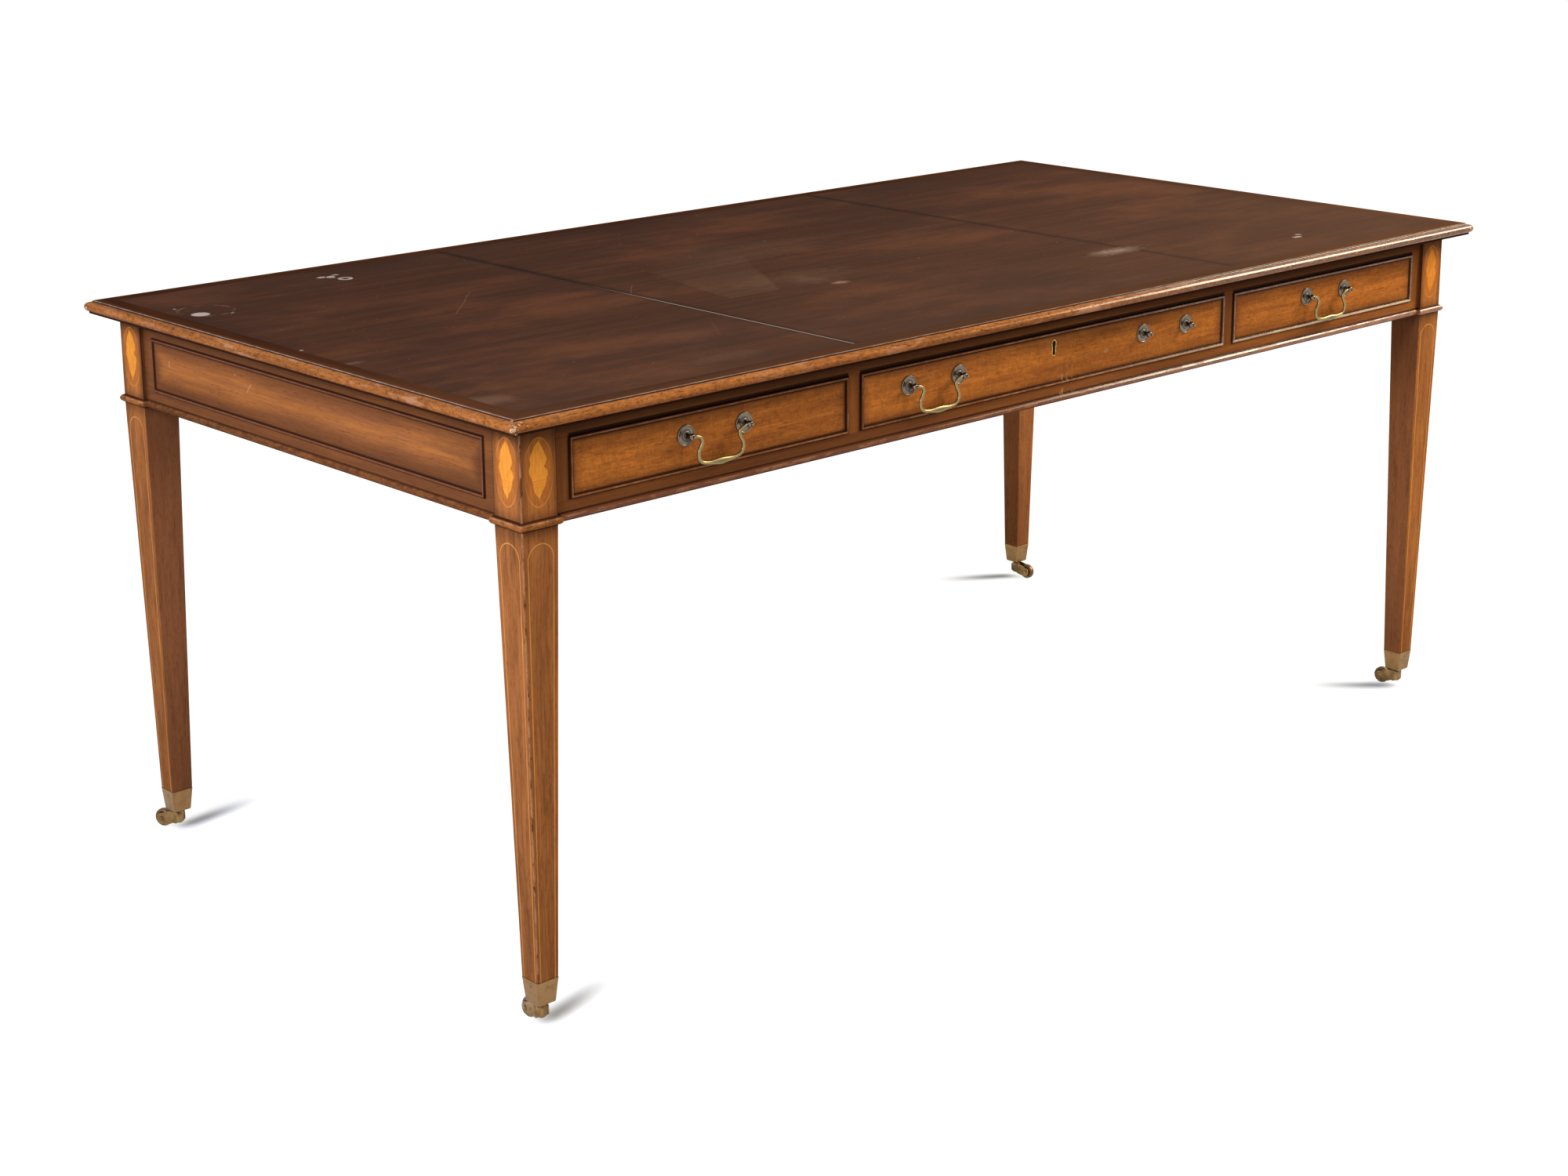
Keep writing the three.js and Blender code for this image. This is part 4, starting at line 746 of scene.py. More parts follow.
def rail_paint(woods, node):
    """Front rail: brown veneer, with painted shadow right under the top. The upper one has painted shadow in the gap
    above each drawer, and the lower one a rubbed bead with a painted highlight along its crest."""
    paint = Paint(node + "_veneer")
    grain = Grain(paint, "X", 2.9)
    x, z = grain.x, grain.z
    shade = case_colours(paint, grain, woods, woods.drawer_brown, woods.drawer_honey)
    shade = paint.layers(shade, (0.62, woods.case_dark))
    if node == "front_top_rail":
        wide = abs(x)
        over = wide.rise(0.3650, 0.3630) | wide.rise(0.3830, 0.3850) * wide.rise(0.8280, 0.8260)
        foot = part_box(node)[0].z
        # Painted shadow in the gap above each drawer.
        gap = z.rise(foot + 0.0045, foot + 0.003) * over
        shade = paint.layers(shade, (gap * 0.9, dim(woods.edge_dirt_and_shade, 0.25)))
        gloss = 0.02
    else:
        bead = z.rise(CASE_BEAD + 0.001, CASE_BEAD - 0.001)
        rub = paint.noise((x * 0.35, grain.y, z), 0.012, 3.0, 0.65)
        # The bead's pale crest: rubbed wear, with a painted highlight.
        crest = (z - 0.6275).line(0.0014, 0.0016)
        drips = paint.noise((x, z * 0.35), 0.007, 3.0, 0.7).rise(0.54, 0.66)
        stain = drips * spot(x, z, 0.025, 0.637, 0.03, 0.016).rise(1.0, 0.3)
        shade = paint.layers(
            shade,
            (bead * 0.7, woods.bead_red),
            ((z - CASE_BEAD).line(0.0006, 0.0008) * 0.85, woods.edge_dirt_and_shade),
            (crest * (0.1 + rub.rise(0.45, 0.62) * 0.36), woods.edge_wear_and_highlight),
            (stain * 0.6, woods.edge_wear_and_highlight),
        )
        shine = bead * (0.6 - 0.3 * rub.rise(0.5, 0.6)) * (0.2 + 0.8 * x.rise(-0.1, 0.4))
        gloss = 0.04 + 0.03 * grain.tone | shine
    # Painted shadow of the top over the head of the rail.
    shade = paint.layers(shade, (z.rise(0.720, 0.734) * 0.7, woods.edge_dirt_and_shade))
    height = grain.fibre * 0.3 - grain.pores
    return paint.finish(shade, 0.36 + 0.12 * grain.streak, height, 0.0001, polish(0.12, 1.6), gloss)


def oak_colours(paint, grain, woods):
    """Plain oak with open dark pores."""
    return paint.layers(
        woods.oak_dark,
        (grain.streak.rise(0.3, 0.7), woods.oak),
        (grain.tone.rise(0.55, 0.85) * 0.3, woods.oak_dark),
        (grain.pores * 0.55, dim(woods.oak_dark, 0.6)),
    )


def oak_paint(woods, axis):
    """Unpolished oak of the drawers' inside, its grain along one axis."""
    paint = Paint("oak_" + axis.lower())
    grain = Grain(paint, axis, 6.1)
    shade = oak_colours(paint, grain, woods)
    height = grain.fibre * 0.5 - grain.pores
    return paint.finish(shade, 0.6 + 0.15 * grain.streak, height, 0.0002, {"Specular IOR Level": 0.3})


def guide_paint(woods):
    """Guide: a veneered stile or divider in front, with painted shade in the gaps beside the drawers, and oak behind
    it.
    """
    paint = Paint("guide_oak_and_veneer")
    grain = Grain(paint, "Y", 4.4)
    front = Grain(paint, "Z", 9.2)
    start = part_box("drawer_guide_left")[0].y
    hidden = grain.y.rise(start + 0.004, start + 0.0045)
    inner, outer, end = ((abs(grain.x) - place).line(0.0016, 0.001) for place in (0.3632, 0.3848, 0.8265))
    shade = paint.layers(
        case_colours(paint, front, woods, woods.drawer_brown, woods.drawer_honey),
        (0.6, woods.case_dark),
        # Painted shade in the gaps beside the drawers.
        ((inner | outer | end) * 0.75, dim(woods.edge_dirt_and_shade, 0.3)),
        (hidden, oak_colours(paint, grain, woods)),
    )
    height = grain.fibre * 0.4 - grain.pores
    return paint.finish(shade, 0.38 + 0.25 * hidden, height, 0.00015, polish(), 0.05 - 0.05 * hidden)


def metal_paint(name, bright, dark, hollow=None, rough=0.3, size=0.006, brushed=0.0, patchy=0.7):
    """Aged metal: tarnish in clouds, dirt and painted shade where the hollow attribute is high, and fine scratches.
    """
    paint = Paint(name)
    x, y, z = paint.place()
    cloud = paint.noise((x, y, z), size, 3.0, 0.6)
    fine = paint.noise((x, y, z), size * 0.16, 2.0, 0.6)
    scratch = paint.noise((x, y, z * 0.12), 0.0009, 2.0, 0.6)
    share = (cloud.rise(0.34, 0.66) + fine.rise(0.5, 0.75) * 0.35) * patchy
    if hollow is not None:
        share = share * 0.6 | paint.attribute("hollow") * hollow
    level = rough + 0.22 * share + brushed * (scratch - 0.5)
    height = fine * 0.4 + scratch * (0.2 + brushed)
    return paint.finish(paint.layers(bright, (share, dark)), level, height, 0.00008 * patchy, {"Metallic": 1.0})


def xyz(x, y, z):
    """Points from their coordinates, each of which may be a grid, a row, a column or one value."""
    return np.stack(np.broadcast_arrays(x, y, z), axis=-1)


def put(name, data):
    """A new object in the scene."""
    made = bpy.data.objects.new(name, data)
    bpy.context.scene.collection.objects.link(made)
    return made


def surface(name, points, uv=None, hollow=None, crease=35.0):
    """A mesh object from a grid of points, rows by columns. Points that meet at a seam or pole are merged, and the
    faces are turned outwards where the volume inside them comes out negative."""
    rows, columns = points.shape[:2]
    index = np.arange(rows * columns).reshape(rows, columns)
    faces = np.stack([index[:-1, :-1], index[:-1, 1:], index[1:, 1:], index[1:, :-1]], axis=-1).reshape(-1, 4)
    mesh = bpy.data.meshes.new(name)
    mesh.from_pydata(points.reshape(-1, 3), [], faces)
    if uv is not None:
        mesh.uv_layers.new(name="UVMap").data.foreach_set("uv", uv.reshape(-1, 2)[faces.ravel()].ravel())
    if hollow is not None:
        values = np.broadcast_to(hollow, (rows, columns)).ravel()
        mesh.attributes.new("hollow", "FLOAT", "POINT").data.foreach_set("value", values)
    work = bmesh.new()
    work.from_mesh(mesh)
    bmesh.ops.remove_doubles(work, verts=work.verts, dist=1e-6)
    if work.calc_volume(signed=True) < 0:
        bmesh.ops.reverse_faces(work, faces=work.faces)
    work.to_mesh(mesh)
    work.free()
    mesh.shade_smooth()
    mesh.set_sharp_from_angle(angle=math.radians(crease))
    return put(name, mesh)


def softened(node, width):
    """A copy of a CAD node, merged, with its flat faces joined up and its sharp edges rounded by a bevel."""
    mesh = frame["nodes"][node].data.copy()
    mesh.name = node + "_soft"
    work = bmesh.new()
    work.from_mesh(mesh)
    bmesh.ops.remove_doubles(work, verts=work.verts, dist=1e-6)
    bmesh.ops.dissolve_limit(work, angle_limit=math.radians(0.5), verts=work.verts, edges=work.edges)
    work.to_mesh(mesh)
    work.free()
    made = put(node + "_soft", mesh)
    bevel = made.modifiers.new("edges", "BEVEL")
    bevel.width = width
    bevel.segments = 2
    bevel.limit_method = "ANGLE"
    bevel.angle_limit = math.radians(30)
    bevel.harden_normals = True
    mesh.shade_smooth()
    return made


def dress(made, node, material):
    """Gives a new piece its material, body and slot, in place of a CAD node."""
    made.data.materials.clear()
    made.data.materials.append(material)
    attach(made, BODY_OF[node])
    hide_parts(node)


def paint_node(node, material):
    """A CAD node that keeps its shape gets a material."""
    mesh = frame["nodes"][node].data
    mesh.materials.clear()
    mesh.materials.append(material)


def arc(centre, radii, start, end, steps):
    """Points of an elliptic arc between two angles in degrees: centre plus radii times cosine and sine."""
    angle = np.radians(np.linspace(start, end, steps + 1))
    return np.stack([centre[0] + radii[0] * np.cos(angle), centre[1] + radii[1] * np.sin(angle)], axis=-1)


def lengths_along(points):
    """Distance along a line of points, from its first."""
    return np.concatenate([[0.0], np.cumsum(np.linalg.norm(np.diff(points, axis=0), axis=1))])


def turned(profile, sides):
    """A profile of radius and height carried round the z axis: radius times cosine and sine of the turn."""
    angle = np.linspace(0, 2 * np.pi, sides + 1)
    radius, height = profile[:, :1], profile[:, 1:]
    return xyz(radius * np.cos(angle), radius * np.sin(angle), height)


def moulding_section(shapes):
    """Section of the edge moulding as inset and drop in metres, from the field over the fillet and nose to the
    underside, with the distance along it and the places along it of the arris, quirk, foot and lip."""
    fillet = shapes.moulding_arris / MM
    parts = [
        [[35.0, 18.0], [35.0, 0.0], [34.6, 0.0], [24.0, 0.0], [13.0, 0.0]],
        arc((10 + fillet, fillet), (fillet, fillet), 270, 180, 4),
        [[10.0, 1.7]],
        arc((10.0, 8.5), (10.0, 6.5), 268, 180, 12),
        arc((5.0, 8.5), (5.0, 5.9), 171, 90, 8),
        [[5.6, 14.4], [6.0, 14.8], [6.0, 17.6], [6.4, 18.0], [20.0, 18.0], [35.0, 18.0]],
    ]
    arris, quirk, foot, lip = 7, 10, 32, 34
    section = np.concatenate(parts)
    run = lengths_along(section) * MM
    return section * MM, run, run[[arris, quirk, foot, lip]].tolist()


def wobble(along, seed):
    """Slow unevenness from -1 to 1 along a length: a sum of sines whose wavelengths have no common measure."""
    waves = ((0.031, 0.4), (0.047, 0.3), (0.083, 0.2), (0.0127, 0.1))
    return sum(share * np.sin(2 * np.pi * along / wave + seed * (k + 1.7)) for k, (wave, share) in enumerate(waves))


def moulded_band(node, shapes, section, run, quarter):
    """Edge band: the section carried along the edge and mitred, so each point's run shrinks with its inset. Dents
    push the nose inwards by a wobble, and the corners lose wood by a Gaussian of the distance from the mitre. At
    both ends the outline is drawn in to its middle, which closes them."""
    low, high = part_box(node)
    side = 1 - quarter % 2
    reach = (high[1 - side] - low[1 - side]) / 2
    outside = max(abs(low[side]), abs(high[side]))
    share = np.sin(np.linspace(-1, 1, 190 if reach > 0.6 else 100) * np.pi / 2)
    inset, drop = section.T
    along = share[:, None] * (reach - inset)
    proud = np.clip(1 - np.abs(drop - 0.0085) / 0.007, 0, 1) * (inset < 0.011)
    dents = shapes.moulding_dent * proud * np.clip(wobble(along, quarter + 1.0), 0, 1)
    gap = reach - np.abs(along)
    lost = shapes.corner_wear * np.exp(-((gap / 0.004) ** 2)) * (inset < 0.012)
    points = xyz(along - np.sign(along) * lost, inset + dents + lost - outside, high[2] - drop)
    c, s = np.cos(quarter * np.pi / 2), np.sin(quarter * np.pi / 2)
    points = points @ np.array([[c, s, 0], [-s, c, 0], [0, 0, 1]])
    uv = np.stack(np.broadcast_arrays(along + quarter * 2.3, run), axis=-1)
    points, uv = (np.concatenate([grid, grid[:, :1]], axis=1) for grid in (points, uv))
    first, last = (np.broadcast_to(end.mean(axis=1, keepdims=True), end.shape) for end in (points[:1], points[-1:]))
    points, uv = np.concatenate([first, points, last]), np.concatenate([uv[:1], uv, uv[-1:]])
    return surface(node.replace("top_band", "edge_moulding"), points, uv)


class DESK_OT_make_top(bpy.types.Operator):
    """Dresses the top: its field board, and the moulded bands round it"""

    bl_idname = "desk.make_top"
    bl_label = "Top"

    def execute(self, context):
        woods, shapes = context.scene.desk_woods, context.scene.desk_shapes
        paint_node("top_board", top_paint(woods))
        section, run, marks = moulding_section(shapes)
        paints = [moulding_paint(woods, axis, marks) for axis in "XY"]
        for quarter, name in enumerate(EDGES):
            node = "top_band_" + name
            dress(moulded_band(node, shapes, section, run, quarter), node, paints[quarter % 2])
        return {"FINISHED"}


def square_section(radius_share, spread):
    """A unit square with rounded corners, gone round once from the middle of the right face. Its points are the flat
    sides plus, at each corner, a quarter circle; spread keeps a support point beside each arc."""
    inner, support = 1 - radius_share, 1 - radius_share * (1 + spread)
    corner = arc((inner, inner), (radius_share, radius_share), 0, 90, 4)
    quarter = np.concatenate([[[1.0, support]], corner, [[support, 1.0]]])
    turns = [quarter @ np.array([[c, s], [-s, c]]) for c, s in ((1, 0), (0, 1), (-1, 0), (0, -1))]
    return np.concatenate([[[1.0, 0.0]], *turns, [[1.0, 0.0]]])


def leg_rows():
    """Half width and height of the leg, from the peg in the cup up to the top of the post, in metres."""
    rows = [
        [[0.0, 32.1], [11.5, 32.1], [12.0, 34.0], [14.2, 61.0], [14.3, 61.1], [15.3, 61.1], [15.5, 61.5]],
        np.stack([np.linspace(15.55, 26.0, 24), np.linspace(64.0, 621.7, 24)], axis=-1),
        arc((26.0, 627.0), (5.0, 5.0), -90, 90, 12),
        [[26.0, 632.4], [26.0, 660.0], [26.0, 700.0], [26.0, 743.6], [25.7, 743.9], [0.0, 743.9]],
    ]
    return np.concatenate(rows) * MM


def square_leg(corner, shapes):
    """Leg and post: the rounded square carried up its rows, each as wide as the row says. Every corner is pulled to
    the same radius, whatever the width."""
    node = "leg_" + corner
    rows = leg_rows()
    half = np.maximum(rows[:, :1], 1e-7)[..., None]
    across = square_section(shapes.leg_arris / POST_HALF, 0.5) * half
    keep = np.maximum(half - shapes.leg_arris, 0)
    flat = np.clip(across, -keep, keep)
    arris = across - flat
    size = np.linalg.norm(arris, axis=-1, keepdims=True)
    pulled = np.where(size > shapes.leg_arris, arris * shapes.leg_arris / np.maximum(size, 1e-9), arris)
    across = np.where(half > 0.004, flat + pulled, across)
    middle = middle_of(node)
    made = surface("post_and_" + node, xyz(across[..., 0] + middle[0], across[..., 1] + middle[1], rows[:, 1:]))
    mark_faces(made.data, middle, CORNERS[corner])
    return made


def mark_faces(mesh, middle, signs):
    """UV map whose u grows to the right across each face as it is looked at, and the outer attribute by face."""

    def read(items, field, count, kind=np.float64):
        values = np.empty(len(items) * count, kind)
        items.foreach_get(field, values)
        return values.reshape(-1, count)

    normal = read(mesh.polygons, "normal", 3)
    loops = read(mesh.polygons, "loop_total", 1, np.int32).ravel()
    vertex = read(mesh.loops, "vertex_index", 1, np.int32).ravel()
    place = read(mesh.vertices, "co", 3)[vertex]
    sideways = (np.abs(normal[:, 1]) > np.abs(normal[:, 0])) & (np.abs(normal[:, 1]) > 0.02)
    facing = np.repeat(np.where(sideways, -np.sign(normal[:, 1]), np.where(normal[:, 0] < 0, -1.0, 1.0)), loops)
    across = np.where(np.repeat(sideways, loops), place[:, 0] - middle[0], place[:, 1] - middle[1])
    uv = np.stack([across * facing, place[:, 2]], axis=-1)
    mesh.uv_layers.new(name="UVMap").data.foreach_set("uv", uv.ravel())
    outer = np.where(sideways, normal[:, 1] * signs[1], normal[:, 0] * signs[0]) > 0
    mesh.attributes.new("outer", "FLOAT", "FACE").data.foreach_set("value", outer.astype(np.float32))


class DESK_OT_make_legs(bpy.types.Operator):
    """Makes the four posts with their tapered legs, stringing and oval inlays"""

    bl_idname = "desk.make_legs"
    bl_label = "Legs"

    def execute(self, context):
        woods, shapes = context.scene.desk_woods, context.scene.desk_shapes
        wood = leg_paint(woods, shapes)
        for corner in CORNERS:
            dress(square_leg(corner, shapes), "leg_" + corner, wood)
        return {"FINISHED"}


class DESK_OT_make_case(bpy.types.Operator):
    """Dresses the aprons, the front rails and the guides between the drawers"""

    bl_idname = "desk.make_case"
    bl_label = "Case"

    def execute(self, context):
        woods, shapes = context.scene.desk_woods, context.scene.desk_shapes
        for node, axis in (("apron_left", "Y"), ("apron_right", "Y"), ("apron_back", "X")):
            dress(softened(node, shapes.arris), node, apron_paint(woods, node, axis))
        for node in ("front_bottom_rail", "front_top_rail"):
            dress(softened(node, shapes.arris), node, rail_paint(woods, node))
        guide = guide_paint(woods)
        for name in GUIDES:
            paint_node("drawer_guide_" + name, guide)
        return {"FINISHED"}


class DESK_OT_make_drawers(bpy.types.Operator):
    """Dresses the drawers: veneered fronts with cock beads, and oak sides, backs and bottoms"""

    bl_idname = "desk.make_drawers"
    bl_label = "Drawers"

    def execute(self, context):
        woods, shapes = context.scene.desk_woods, context.scene.desk_shapes
        oak = {axis: oak_paint(woods, axis) for axis in "XY"}
        for drawer in DRAWER_GRAIN:
            node = f"drawer_{drawer}_front"
            front = softened(node, shapes.arris * 0.6)
            dress(front, node, drawer_front_paint(woods, drawer))
            for part, axis in (("side_left", "Y"), ("side_right", "Y"), ("back", "X"), ("bottom", "X")):
                paint_node(f"drawer_{drawer}_{part}", oak[axis])
        return {"FINISHED"}


# Radius and reach of a rosette in millimetres: a dish, a boss that thins to the stem, and the nib on the ball.
ROSETTE_DISH = [
    [10.9, 0.78], [10.2, 0.74], [9.4, 0.76], [8.2, 0.9], [7.2, 1.12], [6.2, 1.42], [5.2, 1.82],
    [4.4, 2.2], [3.6, 2.8], [2.9, 3.6], [2.55, 4.6], [2.45, 6.0], [2.5, 7.2],
]
ROSETTE_NIB = [[1.75, 15.4], [1.95, 16.2], [1.8, 17.2], [1.2, 17.8], [0.0, 18.0]]


def bell(value, middle, width):
    """A Gaussian: 1 at a middle, falling off over a width."""
    return np.exp(-(((value - middle) / width) ** 2))


def rosette(node, shapes):
    """Turned rosette with its ball post, laid along -Y. hollow is high behind the rim and round the stem."""
    back = [[0.0, 0.1], [13.1, 0.1], [13.25, 0.35], [13.25, 0.7]]
    rim = arc((12.15, 0.85), (1.1, 0.95), 0, 180, 8)
    ball = arc((0.0, 11.0), (4.4, 4.4), -54, 63, 14)
    profile = np.concatenate([back, rim, ROSETTE_DISH, ball, ROSETTE_NIB])
    turning = turned(profile * MM, shapes.turning_sides)
    x, _, z = middle_of(node)
    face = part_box(node)[1].y + 0.1 * MM
    radius, reach = profile[:, :1], profile[:, 1:]
    hollow = (
        0.25 * bell(radius, 10.75, 0.35) * (reach < 1.0)
        + 0.95 * bell(radius, 6.6, 1.1) * (reach < 1.6)
        + 0.9 * (radius < 4.6) * (reach < 7.3) * (reach > 1.9)
        + 0.4 * (radius > 13.0)
    )
    points = xyz(x + turning[..., 0], face - turning[..., 2], z + turning[..., 1])
    return surface(node + "_turned", points, hollow=np.clip(hollow, 0, 1), crease=50)


def centripetal(points, samples):
    """A centripetal Catmull-Rom line through points, at even steps of its length. Each span is a cubic whose end
    slopes come from knots set apart by the square root of the distances."""
    padded = np.concatenate([[2 * points[0] - points[1]], points, [2 * points[-1] - points[-2]]])
    step = np.sqrt(np.linalg.norm(np.diff(padded, axis=0), axis=1))[:, None]
    p0, p1, p2, p3 = padded[:-3], padded[1:-2], padded[2:-1], padded[3:]
    d0, d1, d2 = step[:-2], step[1:-1], step[2:]
    into = ((p1 - p0) / d0 - (p2 - p0) / (d0 + d1) + (p2 - p1) / d1) * d1
    out = ((p2 - p1) / d1 - (p3 - p1) / (d1 + d2) + (p3 - p2) / d2) * d1
    square, cube = -3 * p1 + 3 * p2 - 2 * into - out, 2 * p1 - 2 * p2 + into + out
    t = np.linspace(0, 1, 40, endpoint=False)[None, :, None]
    line = sum(c[:, None, :] * t**k for k, c in enumerate((p1, into, square, cube)))
    line = np.concatenate([line.reshape(-1, points.shape[1]), points[-1:]])
    run = lengths_along(line)
    at = np.linspace(0, run[-1], samples)
    return np.stack([np.interp(at, run, column) for column in line.T], axis=-1)


# Half a bail's centreline, from the pin to the middle of the grip, as shares of how far its neck comes in and of
# its drop.
BAIL_IN = np.array([0.3, 0.55, 0.86, 1.0, 0.86, 0.66, 0.66, 0.95, 1.6])
BAIL_DOWN = np.array([0.0, 0.03, 0.1, 0.24, 0.4, 0.56, 0.78, 0.93, 1.0])


def swan_bail(node, shapes):
    """Swan-neck bail: an ellipse carried along its centreline, thin at the pins, swelling to the grip by a cosine.
    Its sizes are in millimetres, and it stays a little slimmer than its solid."""
    half_span, pin_end, neck_in, drop, ball, pivot = 46.0, 44.5, 16.5, 36.0, 4.4, 691.2
    pin, arm, grip, grip_depth, half_grip, slimmer = 1.5, 2.3, 4.4, 2.9, 22.0, 0.995
    neck = np.stack([half_span - BAIL_IN * neck_in, -BAIL_DOWN * drop], axis=-1)
    right = np.concatenate([[[pin_end, 0.0]], neck])
    line = centripetal(np.concatenate([right * [-1, 1], right[::-1]]), 150)
    tangent = np.gradient(line, axis=0)
    tangent /= np.linalg.norm(tangent, axis=1, keepdims=True)
    x, z = line[:, :1], line[:, 1:]
    into = np.clip((half_span - ball - np.abs(x)) / (ball / 2), 0, 1)
    into = np.maximum(into * into * (3 - 2 * into), z < -pin)
    thin = pin + (arm - pin) * into
    swell = np.where(z < -drop / 2, (1 + np.cos(np.pi * np.minimum(1, np.abs(x) / half_grip))) / 2, 0)
    ends = np.ones_like(x)
    ends[[0, -1]] = 0
    turn = np.linspace(0, 2 * np.pi, shapes.bail_sides + 1)
    in_plane = (thin + (grip - thin) * swell) * slimmer * ends * np.cos(turn)
    outward = (thin + (grip_depth - thin) * swell) * slimmer * ends * np.sin(turn)
    middle = middle_of(node)
    points = xyz(
        (x - tangent[:, 1:] * in_plane) * MM + middle[0],
        outward * MM + middle[1],
        (z + tangent[:, :1] * in_plane + pivot) * MM,
    )
    # Painted light on the bail: its faces dark, its rims left light, and the side towards the drawer darker.
    hollow = 0.9 * np.abs(np.sin(turn)) ** 3 * (0.55 + 0.45 * swell) + 0.15 * (np.sin(turn) > 0.1)
    points, hollow = (np.concatenate([grid[:1], grid, grid[-1:]]) for grid in (points, hollow))
    return surface(node + "_swan_neck", points, hollow=hollow, crease=60)


class DESK_OT_make_pulls(bpy.types.Operator):
    """Makes the turned rosettes with their ball posts, and the swan-neck bails"""

    bl_idname = "desk.make_pulls"
    bl_label = "Pulls"

    def execute(self, context):
        brasses, shapes = context.scene.desk_brasses, context.scene.desk_shapes
        pewter = metal_paint("rosette_metal", brasses.rosette, brasses.rosette_dark, 0.9, 0.22, 0.011, patchy=0.3)
        brass = metal_paint("bail_brass", brasses.bail, brasses.bail_tarnish_and_shade, 0.8, 0.29, 0.009, patchy=0.3)
        for pull, has_bail in PULL_HAS_BAIL.items():
            for side in ("left", "right"):
                node = f"rosette_{pull}_{side}"
                dress(rosette(node, shapes), node, pewter)
            if has_bail:
                dress(swan_bail("bail_" + pull, shapes), "bail_" + pull, brass)
        return {"FINISHED"}


class DESK_OT_make_lock(bpy.types.Operator):
    """Dresses the lock of the middle drawer: its case, its bolt and the liner of the keyhole"""

    bl_idname = "desk.make_lock"
    bl_label = "Lock"

    def execute(self, context):
        brasses = context.scene.desk_brasses
        steel = metal_paint("lock_steel", brasses.steel, brasses.rosette_dark, None, 0.4, 0.01, 0.2)
        liner = metal_paint("liner_brass", brasses.liner, brasses.cup_dark, None, 0.25, 0.004)
        bolt = metal_paint("bolt_brass", brasses.cup, brasses.cup_dark, None, 0.3, 0.008, 0.2)
        dress(softened("lock_case", 0.4 * MM), "lock_case", steel)
        dress(softened("lock_bolt", 0.5 * MM), "lock_bolt", bolt)
        dress(softened("keyhole_liner", 0.15 * MM), "keyhole_liner", liner)
        return {"FINISHED"}


# Half width and height of a cup in millimetres: up the outside, over the rim and down the inside to its floor.
CUP_ROWS = np.array([
    [0.0, 29.0], [11.2, 29.0], [12.3, 29.5], [13.0, 30.6], [13.1, 31.4], [15.7, 58.6], [15.75, 59.2],
    [16.0, 59.7], [16.0, 60.7], [15.8, 61.0], [14.7, 61.0], [14.5, 60.8], [11.7, 32.0], [0.0, 32.0],
])


def square_cup(corner, shapes):
    """Brass cup: the rounded square carried up its rows, with a pin in each outer face."""
    half, height = (CUP_ROWS[:, :1] * MM, CUP_ROWS[:, 1:] * MM)
    across = square_section(shapes.cup_corner / (14.5 * MM), 0.4) * np.maximum(half, 1e-7)[..., None]
    middle = middle_of("caster_cup_" + corner)
    points = xyz(across[..., 0] + middle[0], across[..., 1] + middle[1], height)
    dirty = np.clip(1 - (height - 0.029) / 0.006, 0, 1) * 0.5
    cup = surface("cup_" + corner, points, hollow=dirty, crease=40)
    return join_meshes(cup, [cup_pin(corner, axis, middle, shapes) for axis in (0, 1)])


def cup_pin(corner, axis, middle, shapes):
    """Low domed pin head in an outer face of the cup: its section is a quarter of an ellipse."""
    face, height = 15.25 * MM, 53 * MM
    dome = turned(
        np.concatenate([[[0.0, -1.0 * MM]], arc((0.0, 0.0), (shapes.pin_head, 0.45 * MM), 0, 90, 6)]), 20
    )
    place = np.empty(dome.shape)
    place[..., axis] = middle[axis] + CORNERS[corner][axis] * (face + dome[..., 2])
    place[..., 1 - axis] = middle[1 - axis] + dome[..., 0]
    place[..., 2] = height + dome[..., 1]
    return surface("pin", place, hollow=0.85, crease=60)


def join_meshes(base, others):
    """Puts the meshes of other pieces into the first."""
    work = bmesh.new()
    work.from_mesh(base.data)
    for other in others:
        mesh = other.data
        work.from_mesh(mesh)
        bpy.data.objects.remove(other)
        bpy.data.meshes.remove(mesh)
    work.to_mesh(base.data)
    work.free()
    return base


# Radius and half width of a wheel in millimetres, from its bore over the web and the flange to its crown.
WHEEL_ROWS = [
    [2.5, 4.9], [3.6, 4.7], [4.4, 4.0], [6.8, 3.5], [8.0, 3.9], [8.6, 4.6], [9.2, 4.95], [10.9, 4.95],
    [11.6, 4.6], [12.3, 3.6], [12.74, 2.4], [12.86, 1.2], [12.86, 0.0],
]


def caster_wheel(corner, shapes):
    """Wheel: a crowned tread, a raised flange and a dished web, turned about the axle and set square to its trail,
    which is the direction from the middle of its cup to its axle."""
    axle_height = 12.888 * MM
    far_side = [[radius, -half] for radius, half in reversed(WHEEL_ROWS[:-1])]
    rows = np.array(WHEEL_ROWS + far_side + WHEEL_ROWS[:1])
    wheel = turned(rows * MM, shapes.turning_sides)
    x, y, _ = middle_of("caster_wheel_" + corner)
    cup_x, cup_y, _ = middle_of("caster_cup_" + corner)
    trail_x, trail_y = np.array([x - cup_x, y - cup_y]) / math.hypot(x - cup_x, y - cup_y)
    points = xyz(
        x + wheel[..., 0] * trail_x - wheel[..., 2] * trail_y,
        y + wheel[..., 0] * trail_y + wheel[..., 2] * trail_x,
        axle_height + wheel[..., 1],
    )
    hollow = np.clip(1 - np.abs(rows[:, :1] - 6.0) / 3.0, 0, 1)
    return surface("wheel_" + corner, points, hollow=hollow, crease=45)


